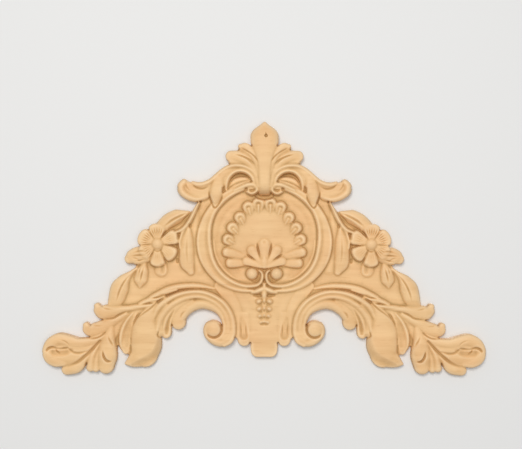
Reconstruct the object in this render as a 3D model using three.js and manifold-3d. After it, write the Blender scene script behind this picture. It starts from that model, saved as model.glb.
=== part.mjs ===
// A carved wood applique: a pediment ornament with a shell panel in a ring, a leaf crown over two
// arches, flowers and leaves down both sides, and a curled acanthus scroll at each foot. It is one
// piece of wood with a flat back. It stands upright here: +X is to the right, +Z is up, the relief
// faces -Y and the flat back lies in the plane y = 0, with the origin at the middle of its size.
import * as THREE from 'three';
import { mergeVertices } from 'three/addons/utils/BufferGeometryUtils.js';
import Module from 'manifold-3d';

const wasm = await Module();
wasm.setup();

// Sizes in millimetres
const WIDTH = 280; // from one curled end to the other
const RELIEF = 12; // from the flat back to the highest carving, the stem of the crown
const GROUND = 4.2; // thickness of the plain wood between the leaves
const PANEL = 3.4; // thickness of the sunk panel behind the shell
const SHELL = 4.8; // thickness of the shell between its loops
const TONGUE = 5.8; // thickness of the tongue at the foot
const THROAT = 1.6; // thickness left in the dark hollow where the crown's stem ends
const PIT_WIDTH = 1.8; // the small round pit near the tip of the crown
const PIT_DEPTH = 2.0;

// The ornament is drawn on squared paper, SQUARES of them across. A point is [u, v]: u squares out
// from the centre line and v squares up from the middle of the height. Widths are in squares too.
// Heights over the back are drawn for a relief of DRAWN_RELIEF over the same plain ground.
const SQUARES = 443.2;
const DRAWN_RELIEF = 9.6;
const UNIT = WIDTH / SQUARES;
const STRETCH = (RELIEF - GROUND) / (DRAWN_RELIEF - GROUND);

// How finely curves are followed, in squares, how far cuts reach above the relief, and how far the
// forms reach below the back before the back is planed flat
const DRIFT = 0.34;
const CLEAR = 3;
const BELOW = 1;
const FACETS = 9900;

// The real height of a drawn one: what lies above or below the plain ground is deepened
function level(drawn) {
  return GROUND + (drawn - GROUND) * STRETCH;
}

// The solid so far. Every form is joined to it or cut from it on both sides of the centre line.
let body = null;

function solidOf(geometry, side) {
  const source = geometry.clone();
  for (const name of Object.keys(source.attributes)) {
    if (name !== 'position') source.deleteAttribute(name);
  }
  const merged = mergeVertices(source, 1e-4);
  const points = merged.getAttribute('position');
  const vertProperties = new Float32Array(points.count * 3);
  for (let i = 0; i < points.count; i++) {
    vertProperties[3 * i] = side * points.getX(i);
    vertProperties[3 * i + 1] = points.getY(i);
    vertProperties[3 * i + 2] = points.getZ(i);
  }
  const corners = [];
  const index = merged.getIndex();
  for (let i = 0; i < index.count; i += 3) {
    const a = index.getX(i);
    const b = index.getX(i + 1);
    const c = index.getX(i + 2);
    if (a !== b && b !== c && c !== a) corners.push(a, b, c);
  }
  const triVerts = new Uint32Array(corners);
  if (volume(vertProperties, triVerts) < 0) {
    for (let i = 0; i < triVerts.length; i += 3) {
      [triVerts[i], triVerts[i + 1]] = [triVerts[i + 1], triVerts[i]];
    }
  }
  return new wasm.Manifold(new wasm.Mesh({ numProp: 3, vertProperties, triVerts }));
}

function volume(vertProperties, triVerts) {
  const corner = (i) => new THREE.Vector3().fromArray(vertProperties, 3 * i);
  let sum = 0;
  for (let i = 0; i < triVerts.length; i += 3) {
    const across = corner(triVerts[i + 1]).cross(corner(triVerts[i + 2]));
    sum += corner(triVerts[i]).dot(across) / 6;
  }
  return sum;
}

function join(geometry, central) {
  for (const side of central ? [1] : [1, -1]) {
    const solid = solidOf(geometry, side);
    body = body ? body.add(solid) : solid;
  }
}

function cut(geometry, central) {
  for (const side of central ? [1] : [1, -1]) {
    body = body.subtract(solidOf(geometry, side));
  }
}

// A value given at each drawn point, or once for all of them, read along the curve between them
function along(values, count, place) {
  if (typeof values === 'number') return values;
  const step = (i) => values[i + 1] - values[i];
  const slope = (i) => {
    if (i === 0) return step(0);
    if (i === count - 1) return step(count - 2);
    const before = step(i - 1);
    const after = step(i);
    return before * after > 0 ? (2 * before * after) / (before + after) : 0;
  };
  const i = Math.min(Math.floor(place), count - 2);
  const t = place - i;
  const rest = 1 - t;
  return (
    values[i] * rest * rest * (1 + 2 * t) +
    slope(i) * t * rest * rest +
    values[i + 1] * t * t * (3 - 2 * t) -
    slope(i + 1) * t * t * rest
  );
}

// Stations along a form: its centre, direction, half width, crest and foot heights, and lean
function stationsOf(points, half, crest, foot, { lean = 0, ends = 'both', cap = 1, fullness = 2 }) {
  const count = points.length;
  const finer = 8;
  const line = new THREE.CatmullRomCurve3(
    points.map(([u, v]) => new THREE.Vector3(u, v, 0)), false, 'centripetal'
  );
  const last = finer * (count - 1);
  const rows = [];
  for (let i = 0; i <= last; i++) {
    const centre = line.getPoint(i / last);
    const ahead = line.getPoint(Math.min(i + 0.5, last) / last);
    const behind = line.getPoint(Math.max(i - 0.5, 0) / last);
    rows.push({
      centre,
      way: ahead.sub(behind).normalize(),
      half: along(half, count, i / finer),
      crest: along(crest, count, i / finer),
      foot: along(foot, count, i / finer),
      lean: along(lean, count, i / finer),
    });
  }
  const kept = fewest(rows);
  if (ends === 'both' || ends === 'start') kept.unshift(...capped(kept[0], -1, cap, fullness).reverse());
  if (ends === 'both' || ends === 'end') kept.push(...capped(kept[kept.length - 1], 1, cap, fullness));
  return kept;
}

// The fewest stations whose straight runs stay within DRIFT of both edges and of the crest
function fewest(rows) {
  const marks = rows.map((row) => {
    const side = new THREE.Vector3(-row.way.y, row.way.x, 0).multiplyScalar(row.half);
    const left = row.centre.clone().add(side);
    const right = row.centre.clone().sub(side);
    return [left.x, left.y, right.x, right.y, row.crest / UNIT];
  });
  const keep = new Set([0, rows.length - 1]);
  const spans = [[0, rows.length - 1]];
  while (spans.length) {
    const [from, to] = spans.pop();
    let worst = 0;
    let at = -1;
    for (let i = from + 1; i < to; i++) {
      const t = (i - from) / (to - from);
      const offsets = marks[i].map((m, k) => Math.abs(m - marks[from][k] * (1 - t) - marks[to][k] * t));
      const off = Math.max(...offsets);
      if (off > worst) {
        worst = off;
        at = i;
      }
    }
    if (worst > DRIFT) {
      keep.add(at);
      spans.push([from, at], [at, to]);
    }
  }
  return rows.filter((row, i) => keep.has(i));
}

// The rounded end of a form, as a few more stations past its last one
function capped(row, way, cap, fullness) {
  if (row.half < 1) return [];
  const turns = row.half > 3 ? [35, 62, 90] : [45, 90];
  return turns.map((degrees) => {
    const turn = THREE.MathUtils.degToRad(degrees);
    const reach = Math.sin(turn);
    const fall = (1 - reach ** fullness) ** (1 / fullness);
    return {
      ...row,
      centre: row.centre.clone().addScaledVector(row.way, way * row.half * cap * reach),
      half: row.half * Math.max(Math.cos(turn), 0.12),
      crest: row.foot + (row.crest - row.foot) * fall,
    };
  });
}

// The closed skin of a form that runs through its stations, from the carved face to level y = -base
function skin(rows, base, fullness) {
  const wide = Math.max(...rows.map((row) => row.half)) > 3.4;
  const across = wide ? [-1, -0.72, 0, 0.72, 1] : [-1, -0.55, 0.55, 1];
  const sides = across.length + 2;
  const geometry = new THREE.CylinderGeometry(1, 1, 1, sides, rows.length - 1);
  const place = geometry.getAttribute('position');
  const edge = edges(rows);
  for (let i = 0; i < place.count; i++) {
    const row = Math.round((0.5 - place.getY(i)) * (rows.length - 1));
    const middle = Math.hypot(place.getX(i), place.getZ(i)) < 0.5;
    const angle = Math.atan2(place.getX(i), place.getZ(i)) / (2 * Math.PI);
    const around = ((Math.round(angle * sides) % sides) + sides) % sides;
    const point = middle
      ? sectionPoint(rows[row], edge, row, 0, (level(rows[row].foot) + base) / 2)
      : sectionPoint(rows[row], edge, row, ...section(rows[row], across, around, base, fullness));
    place.setXYZ(i, point.x, point.y, point.z);
  }
  return geometry;
}

// Where a corner of a form's section lies: how far across, from -1 to 1, and how high over the back
function section(row, across, around, base, fullness) {
  if (around >= across.length) return [around === across.length ? 1 : -1, base];
  const s = across[around];
  const lean = wideLean(row, across);
  const shifted = s === 0 ? lean : s;
  const q = shifted > lean ? (shifted - lean) / (1 - lean) : (lean - shifted) / (1 + lean);
  const dome = (1 - q ** fullness) ** (1 / fullness);
  return [shifted, level(row.foot + (row.crest - row.foot) * dome)];
}

function wideLean(row, across) {
  return across.length === 5 ? row.lean : 0;
}

// Both edges of a form; on the inner side of a tight bend an edge creeps forward instead of back
function edges(rows) {
  const creep = 0.03;
  return [1, -1].map((side) => {
    const line = [];
    for (const row of rows) {
      const point = new THREE.Vector3(-row.way.y, row.way.x, 0).multiplyScalar(side * row.half);
      point.add(row.centre);
      const before = line[line.length - 1];
      if (before && point.clone().sub(before).dot(row.way) < creep) {
        point.copy(before).addScaledVector(row.way, creep);
      }
      line.push(point);
    }
    return line;
  });
}

function sectionPoint(row, edge, at, s, height) {
  const side = edge[s >= 0 ? 0 : 1][at];
  const point = row.centre.clone().lerp(side, Math.abs(s));
  return new THREE.Vector3(point.x * UNIT, -height, point.y * UNIT);
}

// A raised form: crest is its height along the middle, foot its height along both edges. Fullness 2
// gives a half-round section, and more gives a flatter top with steeper sides.
function ridge(points, half, crest, foot, shape = {}) {
  const rows = stationsOf(points, half, crest, foot, shape);
  join(skin(rows, -BELOW, shape.fullness ?? 2), points.every(([u]) => u === 0));
}

// A hollow cut the same way, with crest as the height left along its middle
function groove(points, half, crest, foot, shape = {}) {
  const rows = stationsOf(points, half, crest, foot, shape);
  cut(skin(rows, RELIEF + CLEAR, shape.fullness ?? 2), points.every(([u]) => u === 0));
}

// A round knob with a domed top
function bead([u, v], radius, crest, foot) {
  const steps = radius > 4 ? 4 : 2;
  const profile = [new THREE.Vector2(0, -BELOW), new THREE.Vector2(radius * UNIT, -BELOW)];
  for (let i = 0; i <= steps; i++) {
    const turn = (i / steps) * (Math.PI / 2);
    const height = level(foot + (crest - foot) * Math.sin(turn));
    profile.push(new THREE.Vector2(i === steps ? 0 : radius * UNIT * Math.cos(turn), height));
  }
  const geometry = new THREE.LatheGeometry(profile, radius > 4 ? 14 : 8);
  geometry.rotateX(Math.PI);
  geometry.translate(u * UNIT, 0, v * UNIT);
  join(geometry, u === 0);
}

// A level slab inside a smooth closed outline, between two heights in millimetres
function slab(outline, from, to) {
  const line = new THREE.CatmullRomCurve3(
    outline.map(([u, v]) => new THREE.Vector3(u * UNIT, v * UNIT, 0)), true, 'centripetal'
  );
  const rim = line.getPoints(outline.length * 2).slice(0, -1);
  const shape = new THREE.Shape(rim.map((point) => new THREE.Vector2(point.x, point.y)));
  const geometry = new THREE.ExtrudeGeometry(shape, { depth: to - from, bevelEnabled: false });
  geometry.rotateX(Math.PI / 2);
  geometry.translate(0, -from, 0);
  return geometry;
}

function central(outline) {
  return outline.some(([u]) => u < -1);
}

function plate(outline, height) {
  join(slab(outline, -BELOW, height), central(outline));
}

function pocket(outline, height) {
  cut(slab(outline, height, RELIEF + CLEAR), central(outline));
}

// The whole outline of a form that lies across the centre line, from its half
function mirrored(outline) {
  const other = outline.filter(([u]) => u > 0.01).map(([u, v]) => [-u, v]);
  return [...other.reverse(), ...outline];
}

// Plain ground: behind the middle, behind the flowers and scrolls, and behind each corner's leaves
function groundPlates() {
  plate(
    mirrored([
      [0, 100], [14, 99], [24, 99.5], [31, 95], [36, 89], [36, 82], [40, 76], [50, 67], [58, 62],
      [63, 47], [68, 36], [74, 22], [76, 4], [74, -14], [66, -30], [52, -38], [42, -46], [36, -58],
      [33, -72], [30, -86], [24, -92], [16, -94], [0, -96]
    ]),
    GROUND
  );
  plate(
    [
      [58, 56], [64, 45], [74, 36], [88, 31], [100, 24], [112, 14], [120, 2], [126, -14], [133, -25],
      [142, -33], [150, -42], [152, -56], [148, -70], [136, -78], [120, -80], [108, -76], [97, -72],
      [88, -62], [76, -62], [68, -59.5], [60, -58], [52, -60], [45, -65.5], [42.5, -72], [42, -78],
      [48, -84], [44, -91], [36, -90], [33, -78], [36, -62], [40, -52], [50, -34], [64, -20], [64, 10]
    ],
    GROUND
  );
  plate(
    [
      [140, -60], [158, -72], [170, -84], [178, -94], [182, -106], [174, -114], [166, -117],
      [154, -117], [149, -108], [146.4, -98], [142.6, -102.6], [137, -106], [132, -109], [120, -104],
      [108, -92], [106, -76], [120, -62]
    ],
    GROUND
  );
}

// The sunk panel inside the ring
function panel() {
  pocket(
    mirrored([
      [0, 60], [14, 57.6], [22, 55.6], [32.5, 50.4], [42.3, 41.8], [48.5, 33], [52.2, 22], [53.4, 11],
      [52.6, -1], [49.4, -12], [43.6, -20.8], [35.2, -28.8], [24, -34], [12, -35], [0, -34]
    ]),
    PANEL
  );
}

// The ring round the panel: a broad outer band and a reed inside it that curls up into a coil
function ring() {
  ridge(
    [
      [20, 62], [31, 58], [41, 52.5], [50.5, 43], [58.5, 30], [62.6, 17], [63.6, 5], [61.5, -8],
      [56.5, -20], [47.5, -31], [36, -38.5], [23, -42.2], [11, -42.6]
    ],
    [1.4, 2, 2.2, 2.6, 3.2, 3.8, 4.2, 4, 3.4, 2.8, 2.3, 2.1, 1.8], 6.2,
    [5.6, 5.6, 5.4, 5.2, 5.3, 5.4, 5.4, 5.3, 5.1, 4.9, 4.8, 4.8, 4.8], { fullness: 2.4 }
  );
  ridge(
    [
      [21, 59], [32, 54], [42, 46.5], [50.3, 36], [54.5, 24], [55.4, 12], [54.2, -1], [51, -13],
      [44.8, -23.5], [35, -32], [23, -37.2], [12, -38], [6, -36.4], [3, -33], [1.9, -28.5],
      [2.6, -24.6], [5, -22.4]
    ],
    [1.8, 2.1, 2.3, 2.4, 2.4, 2.4, 2.4, 2.4, 2.3, 2.2, 2.1, 2.1, 1.9, 1.7, 1.6, 1.5, 1],
    [6.6, 6.6, 6.5, 6.4, 6.3, 6.3, 6.3, 6.4, 6.5, 6.5, 6.6, 6.8, 7, 7.2, 7.3, 7.3, 7],
    [5.6, 5.4, 5.2, 5.2, 5.2, 5.2, 5.2, 5.1, 5, 4.8, 4.8, 4.8, 4.8, 4.8, 4.8, 4.8, 4.8]
  );
}

// A low reed round the inside of the ring
function innerReed() {
  ridge(
    [[50.4, 8], [49.4, -4], [45.6, -14], [40, -22], [31.5, -29], [21, -33], [10, -33.4]],
    [0.7, 1.3, 1.5, 1.5, 1.5, 1.3, 0.9], 4.8, 3.6
  );
}

// The scallop shell on the panel, domed in the middle, with loops round its rim
function shell() {
  const root = [0, -14];
  plate(
    mirrored([
      [0, 46], [9.5, 45.5], [20, 37.5], [27.3, 27.5], [33, 17], [37, 5], [38, -5], [34, -14.5],
      [20, -18.5], [0, -20]
    ]),
    SHELL
  );
  ridge([[0, -14], [0, 8], [0, 24]], [20, 25, 21], [5.3, 5.5, 5.3], 4.6, { cap: 0.7, ends: 'end' });
  // Loops round the rim, each turned away from the root and holding a small drop
  const loops = [
    [[6, 44.6], 1.1], [[16.2, 41], 1], [[24.6, 30.6], 0.95], [[32, 20.2], 0.95], [[36.4, 8.6], 0.95]
  ];
  for (const [[u, v], size] of loops) {
    const turn = u < 8 ? 0 : Math.atan2(u - root[0], v - root[1]);
    const at = (out, aside) => [
      u + size * (aside * Math.cos(turn) + out * Math.sin(turn)),
      v + size * (out * Math.cos(turn) - aside * Math.sin(turn)),
    ];
    ridge(
      [at(-5.5, 2.4), at(-2, 3.5), at(1.4, 3.1), at(3, 0), at(1.4, -3.1), at(-2, -3.5), at(-5.5, -2.4)],
      [0.9, 1.6, 2, 2.1, 2, 1.6, 0.9], [5, 5.7, 6.1, 6.3, 6.1, 5.7, 5], 4.8
    );
    ridge([at(-9, 0), at(-5, 0), at(-1.6, 0)], [0.6, 1.3, 1.8], [5, 5.7, 6], 4.7);
  }
  // Two plain finger lobes low at each side
  ridge(
    [[22, -8], [32, -5.5], [38, -4.2]],
    [3, 4.6, 4.8], [5, 5.8, 6.2], [4.6, 4.4, 4.4], { fullness: 2.4, cap: 0.85 }
  );
  ridge(
    [[20, -15], [29, -15], [34.5, -15]],
    [3, 4.8, 5], [5, 5.8, 6.2], [4.6, 4.4, 4.4], { fullness: 2.4, cap: 0.85 }
  );
}

// The small palmette at the root of the shell, between two knobs
function palmette() {
  ridge([[0, -18], [0, -8], [0, 2]], [3.6, 5.2, 6.4], [7.2, 6.8, 6.2], [6, 5.4, 5], { fullness: 2.6 });
  ridge([[2, -17], [8, -9], [12.4, -3]], [3, 4.6, 5.4], [7, 6.6, 6.1], [6, 5.4, 5], { fullness: 2.2 });
  ridge(
    [[3, -18], [10, -15.5], [17.6, -13.4]],
    [3, 4.4, 4.8], [7, 6.6, 6], [6, 5.2, 4.8], { fullness: 2.2 }
  );
  ridge([[0, -17.5], [0, -14], [0, -9]], [6.5, 7, 4], [7.2, 7.4, 7.2], 5.6, { cap: 0.7 });
  bead([12.2, -25.6], 6, 7.8, 5);
}

// Under the ring: the waisted middle with its tongue, and a lobe on each side
function foot() {
  ridge(
    [[46, -38], [36, -48], [29.5, -61], [27, -75], [25, -86]],
    [4, 6.4, 6.6, 6, 5], [5, 5.3, 5.5, 5.6, 5.6], 4.6
  );
  ridge(
    [[20.5, -64], [20, -78], [19.9, -91.4]],
    [5, 6.4, 6.6], [5.2, 5.4, 5.6], 4.8, { fullness: 3, ends: 'end' }
  );
  ridge(
    [[0, -45], [0, -57], [0, -70], [0, -84], [0, -97], [0, -104]],
    [22, 22, 21, 19, 13.3, 12.4], [4.8, 5, 5.2, 5.3, 5.35, 5.35], [4.3, 4.5, 4.6, 4.8, 5.2, 5.2],
    { fullness: 4, ends: 'none' }
  );
  plate(
    mirrored([
      [0, -84], [13.2, -84], [13.3, -92], [13.3, -100], [12.6, -105], [9.4, -108.4], [0, -108.8]
    ]),
    TONGUE
  );
}

// The wide shallow channel down each lobe beside the tongue
function footHollow() {
  groove([[22.6, -72], [22, -80], [20.4, -88.4]], [2.2, 3.2, 3.2], [5, 4.8, 4.9], 5.9);
}

// The two leaves under the ring, and the pairs of husks that hang below them down the middle
function husks() {
  ridge(
    [[0, -36], [0, -46], [0, -56], [0, -66], [0, -78]],
    [1.8, 2.4, 1.8, 1.5, 1], [6.6, 6.4, 6, 5.7, 5.4], 5
  );
  ridge([[1.5, -41], [6.5, -43], [12, -45]], [2.6, 2.6, 0.9], [6.6, 6.4, 5.4], 4.8);
  groove([[4, -46.8], [10, -48.2]], [1.5, 1], [3.9, 4.4], 5.2);
  // Each pair's height on the axis, reach, half length, half width and crest
  const chain = [
    [-53, 5.6, 2.9, 2.2, 6.3], [-60.4, 5.2, 2.7, 2, 6.1], [-67.4, 4.5, 2.3, 1.7, 5.9],
    [-73.6, 3.5, 1.9, 1.4, 5.7]
  ];
  for (const [v, u, long, wide, crest] of chain) {
    ridge([[u - long + wide, v], [u + long - wide, v]], wide, crest, 4.9);
    groove([[u - 2.2, v - wide - 1.2], [u + 1.6, v - wide - 1.6]], [1.3, 0.9], [4.4, 4.7], 5.6);
  }
}

// The crown: a pointed bulb on a stem, with two lobes on each side
function crown() {
  ridge(
    [[5, 72], [8, 86], [13, 96], [19, 100.9], [23.6, 101.2]],
    [2.5, 3.5, 4, 3.9, 3], [8.4, 8, 7.4, 6.8, 6.2], [7.6, 7, 6.2, 5.4, 4.8], { fullness: 1.8 }
  );
  ridge(
    [[5, 62], [9, 76], [17, 86.5], [26, 91.6], [33.4, 91.6]],
    [3, 4.2, 4.8, 5.2, 5.6], [8.6, 8, 7.4, 6.8, 6.2], [7.8, 7, 6.2, 5.4, 4.8], { fullness: 1.8 }
  );
  ridge(
    [[10, 68], [18, 78], [27, 83.6], [33, 86.6]],
    [3, 4, 4, 3], [7.6, 7.2, 6.8, 6.2], [7, 6.4, 5.8, 5.2], { fullness: 1.8 }
  );
  ridge(
    [
      [0, 58], [0, 62], [0, 66], [0, 74], [0, 84], [0, 93], [0, 102], [0, 108], [0, 112], [0, 116],
      [0, 118.7], [0, 123], [0, 126.5]
    ],
    [6.8, 6.6, 6.2, 5.8, 4.8, 6.2, 12.6, 14.1, 14.1, 12.6, 10.2, 4.3, 0.3],
    [8.4, 9.3, 9.6, 9.2, 8.8, 8.5, 8, 7.8, 7.6, 7.3, 7, 6.2, 5.4],
    [6, 7, 7.2, 7.4, 7.2, 6.4, 5.2, 4.8, 4.6, 4.6, 4.6, 4.6, 4.8], { fullness: 2.4, ends: 'end' }
  );
}

// The arch beside the stem: its outer band, the crescent hollow with its lens, two ridges and the sill
function arch() {
  ridge([[34, 79], [41, 74], [45.5, 66], [47.5, 57]], [3.4, 4.6, 4.8, 4.2], [6.6, 6.8, 6.6, 6.4], 5.4);
  pocket(
    [
      [13.6, 68], [15, 72], [20, 74.8], [26, 74.8], [31.6, 72], [35, 66.5], [35.6, 62], [30, 65.4],
      [24, 67], [18, 67.2]
    ],
    PANEL
  );
  groove(
    [[34, 66.5], [30.5, 71], [25, 73.2], [19.5, 72.4], [15.6, 69.4]],
    [1.4, 2.2, 2.5, 2.2, 1.4], [3.4, 2.6, 2.4, 2.6, 3.4], 4
  );
  ridge(
    [[15, 68.4], [22, 68.6], [29, 66.6], [34.4, 62.4]],
    [1.6, 2.8, 3, 1.6], [5.4, 5.2, 5, 4.6], 3.6
  );
  ridge(
    [
      [7.3, 57], [7.3, 68], [11.3, 76], [18.3, 80.5], [26.3, 82.2], [34.3, 81.3], [41.4, 77.4],
      [47.2, 72.6], [52.6, 68], [59.3, 64]
    ],
    [1.8, 2.4, 2.4, 2.3, 2.2, 2.2, 2.3, 2.3, 2.2, 2], [8.2, 8.2, 8, 8, 7.8, 7.4, 7, 6.8, 6.6, 6.2],
    [7.2, 6.8, 6.4, 6, 5.8, 5.6, 5.4, 5.4, 5.4, 5.2]
  );
  ridge(
    [[9.3, 61], [11.8, 70], [17.3, 75.3], [24.3, 77.2], [30.6, 75.6], [35.6, 71], [38, 65], [38.3, 58]],
    [2, 2.2, 2.1, 2.1, 2.2, 2.3, 2.1, 1.2], [7.8, 7.8, 7.6, 7.4, 7.2, 6.8, 6.4, 5.4],
    [6.6, 6.2, 6, 5.8, 5.6, 5.6, 5.4, 5]
  );
  ridge(
    [[15, 66.8], [22, 64.6], [30, 61.4], [36.4, 57]],
    [1.4, 1.7, 1.7, 1.2], [6.4, 6.2, 5.8, 5.4], 4.8
  );
}

// The dark throat below the stem, the stem's rounded foot, and the small scroll on each side
function eyeScrolls() {
  pocket(mirrored([[0, 48.2], [7, 49.6], [9.4, 52], [8.8, 56.5], [7, 60], [0, 61]]), THROAT);
  ridge(
    [[0, 50], [0, 54], [0, 58], [0, 62], [0, 66]],
    [6.2, 6.6, 6.8, 6.6, 6.2], [3.6, 6.4, 8.4, 9.3, 9.6], [3.2, 4.6, 6, 7, 7.2],
    { fullness: 2.4, ends: 'none' }
  );
  ridge(
    [[30, 57.4], [23, 60.6], [16, 63], [10.6, 63], [7.2, 59.8], [8.4, 56.2], [13, 54.4], [17.6, 56.2]],
    [1.8, 2.2, 2.5, 2.5, 1.8, 1.7, 1.6, 1.2], [6.8, 7.2, 7.8, 8, 8, 7.8, 7.4, 6.8],
    [5.4, 5.8, 6.2, 6.4, 6.4, 6, 5.6, 5.2]
  );
  bead([12.8, 58.8], 4.6, 7, 5.8);
  groove([[10.8, 57.8], [13, 57.2], [15.2, 57.8]], [1, 1.5, 1], [5.8, 5.5, 5.8], 7.4);
}

// The wing that sweeps out from the arch and turns up at its end
function wing() {
  ridge(
    [[54, 61.6], [63, 56], [72, 55.9], [79, 58.9]],
    [6, 9, 9, 8.2], [6.2, 6, 5.9, 6.1], [5.2, 4.8, 4.6, 4.6], { fullness: 2.6 }
  );
  ridge(
    [[60, 50.4], [67, 48.9], [75.5, 51], [81.6, 55.8], [83, 61.4], [80.2, 65.6]],
    [2, 3, 3.4, 3.8, 4, 3.4], [6, 6.4, 6.8, 7, 6.9, 6.6], [5, 5, 5, 5, 5, 4.8]
  );
  ridge(
    [[50, 69.4], [57, 65], [63, 63.2], [68.5, 63.6], [71.6, 65]],
    [1.6, 2.6, 2.6, 2.5, 1.8], [7, 7, 6.8, 6.6, 6.2], 5.2
  );
}

// The narrow leaf that hangs where arch, wing and ring meet
function dropLeaf() {
  ridge(
    [[45.6, 68], [47.6, 60], [48.2, 51], [49, 45], [49.4, 40]],
    [3.6, 4.8, 5.2, 3.6, 0.4], [7, 7.2, 7.2, 6.6, 5.6], [6.2, 5.6, 5.2, 5, 5], { fullness: 1.8 }
  );
}

// The forked stem from the wing to the flower, and the long leaf that droops beside the ring
function stemAndDroopingLeaf() {
  ridge(
    [[66, 44], [69, 36], [70, 26], [69, 14], [68, 4]],
    [1.2, 3, 3.6, 2.6, 0.8], [5.6, 5.6, 5.4, 5, 4.6], 4.2
  );
  ridge(
    [[75.6, 20], [77, 8], [77.6, -5], [77, -15], [73.4, -24]],
    [1.8, 6, 7.4, 7.2, 3.4], [5.6, 6.2, 6.4, 6.2, 5.4], 4.5, { fullness: 2.4 }
  );
  ridge(
    [[65.3, 45], [69, 38], [73.4, 29], [78.3, 21.6], [83, 17.6], [89, 15.4]],
    [1, 1.7, 1.9, 1.9, 1.6, 1.2], 6.8, 4.8
  );
  ridge([[79, 20], [82.6, 13], [84.4, 5], [84.6, -1]], [1.4, 1.6, 1.5, 0.8], 6.3, 4.8);
}

// Leaves round the flower: above it, beyond it, the long one below and two small ones
function leavesRoundFlower() {
  ridge(
    [[74.6, 36.2], [80, 34.4], [87, 31.4], [95, 27.2], [103, 20.6]],
    [0.8, 3.4, 7.2, 7.5, 6.4], [5.4, 6, 6.6, 6.8, 6.8], 4.6
  );
  ridge(
    [[118, -7], [126, -8], [132.6, -9.8], [135.8, -11.6]],
    [8, 9.1, 7.4, 4.6], [6.8, 6.6, 6.2, 5.8], 4.6, { cap: 0.8 }
  );
  ridge(
    [[127, -19.9], [134, -25.8], [140, -32], [144.6, -40.6], [147.2, -49], [149.8, -56.5]],
    [0.8, 2.5, 5.9, 9, 8.4, 6.8], [5, 5.4, 6.2, 6.6, 6.4, 5.6], 4.4, { lean: 0.1 }
  );
  ridge(
    [[120, -16.5], [122, -24], [123.6, -32], [124.4, -39.6]],
    [2.6, 6, 6.6, 1], [5.4, 6, 6, 4.9], 4.5
  );
  ridge([[103.4, -17], [103, -22.6]], [6, 6.4], [5.5, 5.3], 4.4);
}

// The flower: six petals round a low button
function flower() {
  const heart = [106.4, 4];
  // Each petal's direction in degrees, its length and its half width near the tip
  const petals = [
    [157, 22, 7.8], [217, 22, 8], [270, 23, 7.6], [328, 20.6, 7.8], [25, 20.8, 8.9], [88, 20.6, 8.6]
  ];
  for (const [degrees, length, wide] of petals) {
    const turn = THREE.MathUtils.degToRad(degrees);
    const at = (out) => [heart[0] + Math.cos(turn) * out, heart[1] + Math.sin(turn) * out];
    ridge(
      [at(3), at(length * 0.5), at(length - wide * 0.62)],
      [2.6, wide * 0.74, wide], [6.8, 7.1, 7.2], 6, { fullness: 3, cap: 0.62 }
    );
  }
  bead([106.4, 4], 5.6, 8.2, 6.6);
  bead([114, 15], 3.4, 6.4, 5.6);
}

// The four long leaflets that lie over the lower arch, one behind the other
function archScroll() {
  ridge(
    [
      [50, -40.6], [60, -38.6], [70, -37.8], [84, -38.6], [96, -41.4], [106, -46.4], [116, -52.6],
      [124, -56.6]
    ],
    [1, 2.2, 2.8, 2.9, 3, 3, 2.8, 2.2], [4.8, 5.6, 6, 6.2, 6.4, 6.4, 6.2, 6], 4.6
  );
  ridge(
    [[88, -41.4], [98, -44], [107, -46.2], [114.6, -48.4]],
    [2.2, 2.8, 2.2, 0.6], [6.2, 6.5, 6.3, 5.2], 4.8
  );
  ridge(
    [[99, -48.8], [107, -51], [117, -53], [126, -55.6]],
    [1.4, 2.2, 2.4, 0.6], [6.2, 6.5, 6.3, 5.2], 4.8
  );
  ridge(
    [[109, -56], [117, -57.8], [128, -59], [138, -59.6]],
    [1.4, 2.2, 2.6, 1.6], [6.2, 6.5, 6.3, 5.6], 4.8
  );
}

// The big turned leaf with its beak, and the hollow leaf beside it
function bigLeaf() {
  ridge(
    [[110, -56], [116, -69], [118.4, -82], [118, -97], [119.6, -106]],
    [4, 8.6, 14, 15.4, 13.6], [6, 7, 7.4, 7.2, 6.8], [4.6, 4.4, 4.2, 4.2, 4.2], { fullness: 2.6 }
  );
  ridge(
    [[120, -106], [127, -110.6], [133, -113.8], [138.8, -116]],
    [12, 9.6, 6, 1], [6.6, 6.4, 5.9, 5], 4.2, { fullness: 2.4, ends: 'end' }
  );
  ridge(
    [[128, -66], [134, -74], [138, -85], [139.2, -95], [138, -102.6]],
    [1.4, 3.6, 5.4, 5.8, 3.8], [4.9, 4.9, 4.8, 4.8, 4.6], 4.2
  );
  ridge(
    [[131, -65], [137.4, -73], [141.6, -82], [143.2, -91], [142.8, -99]],
    [1.2, 1.9, 2.3, 2.3, 1.4], [6, 6.4, 6.4, 6.2, 5.4], 4.6
  );
}

// Two lobes that hang under the lower arch, and the big leaf's flap beside them
function archLobes() {
  ridge(
    [[72, -54], [81, -61.6], [85.4, -68.6], [85.5, -74.6]],
    [3.5, 5.4, 7, 7.2], [6, 6.2, 6.2, 6], 4.6
  );
  ridge([[76, -52], [89, -60], [96.2, -70], [98, -85.2]], [3, 4, 4.6, 5.2], [6, 6.2, 6.2, 5.8], 5.2);
  ridge(
    [[97, -58], [103, -68], [105.6, -77], [104.6, -84]],
    [3, 4.2, 5, 5.4], [6.6, 6.7, 6.6, 6.2], 5.2
  );
}

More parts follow.
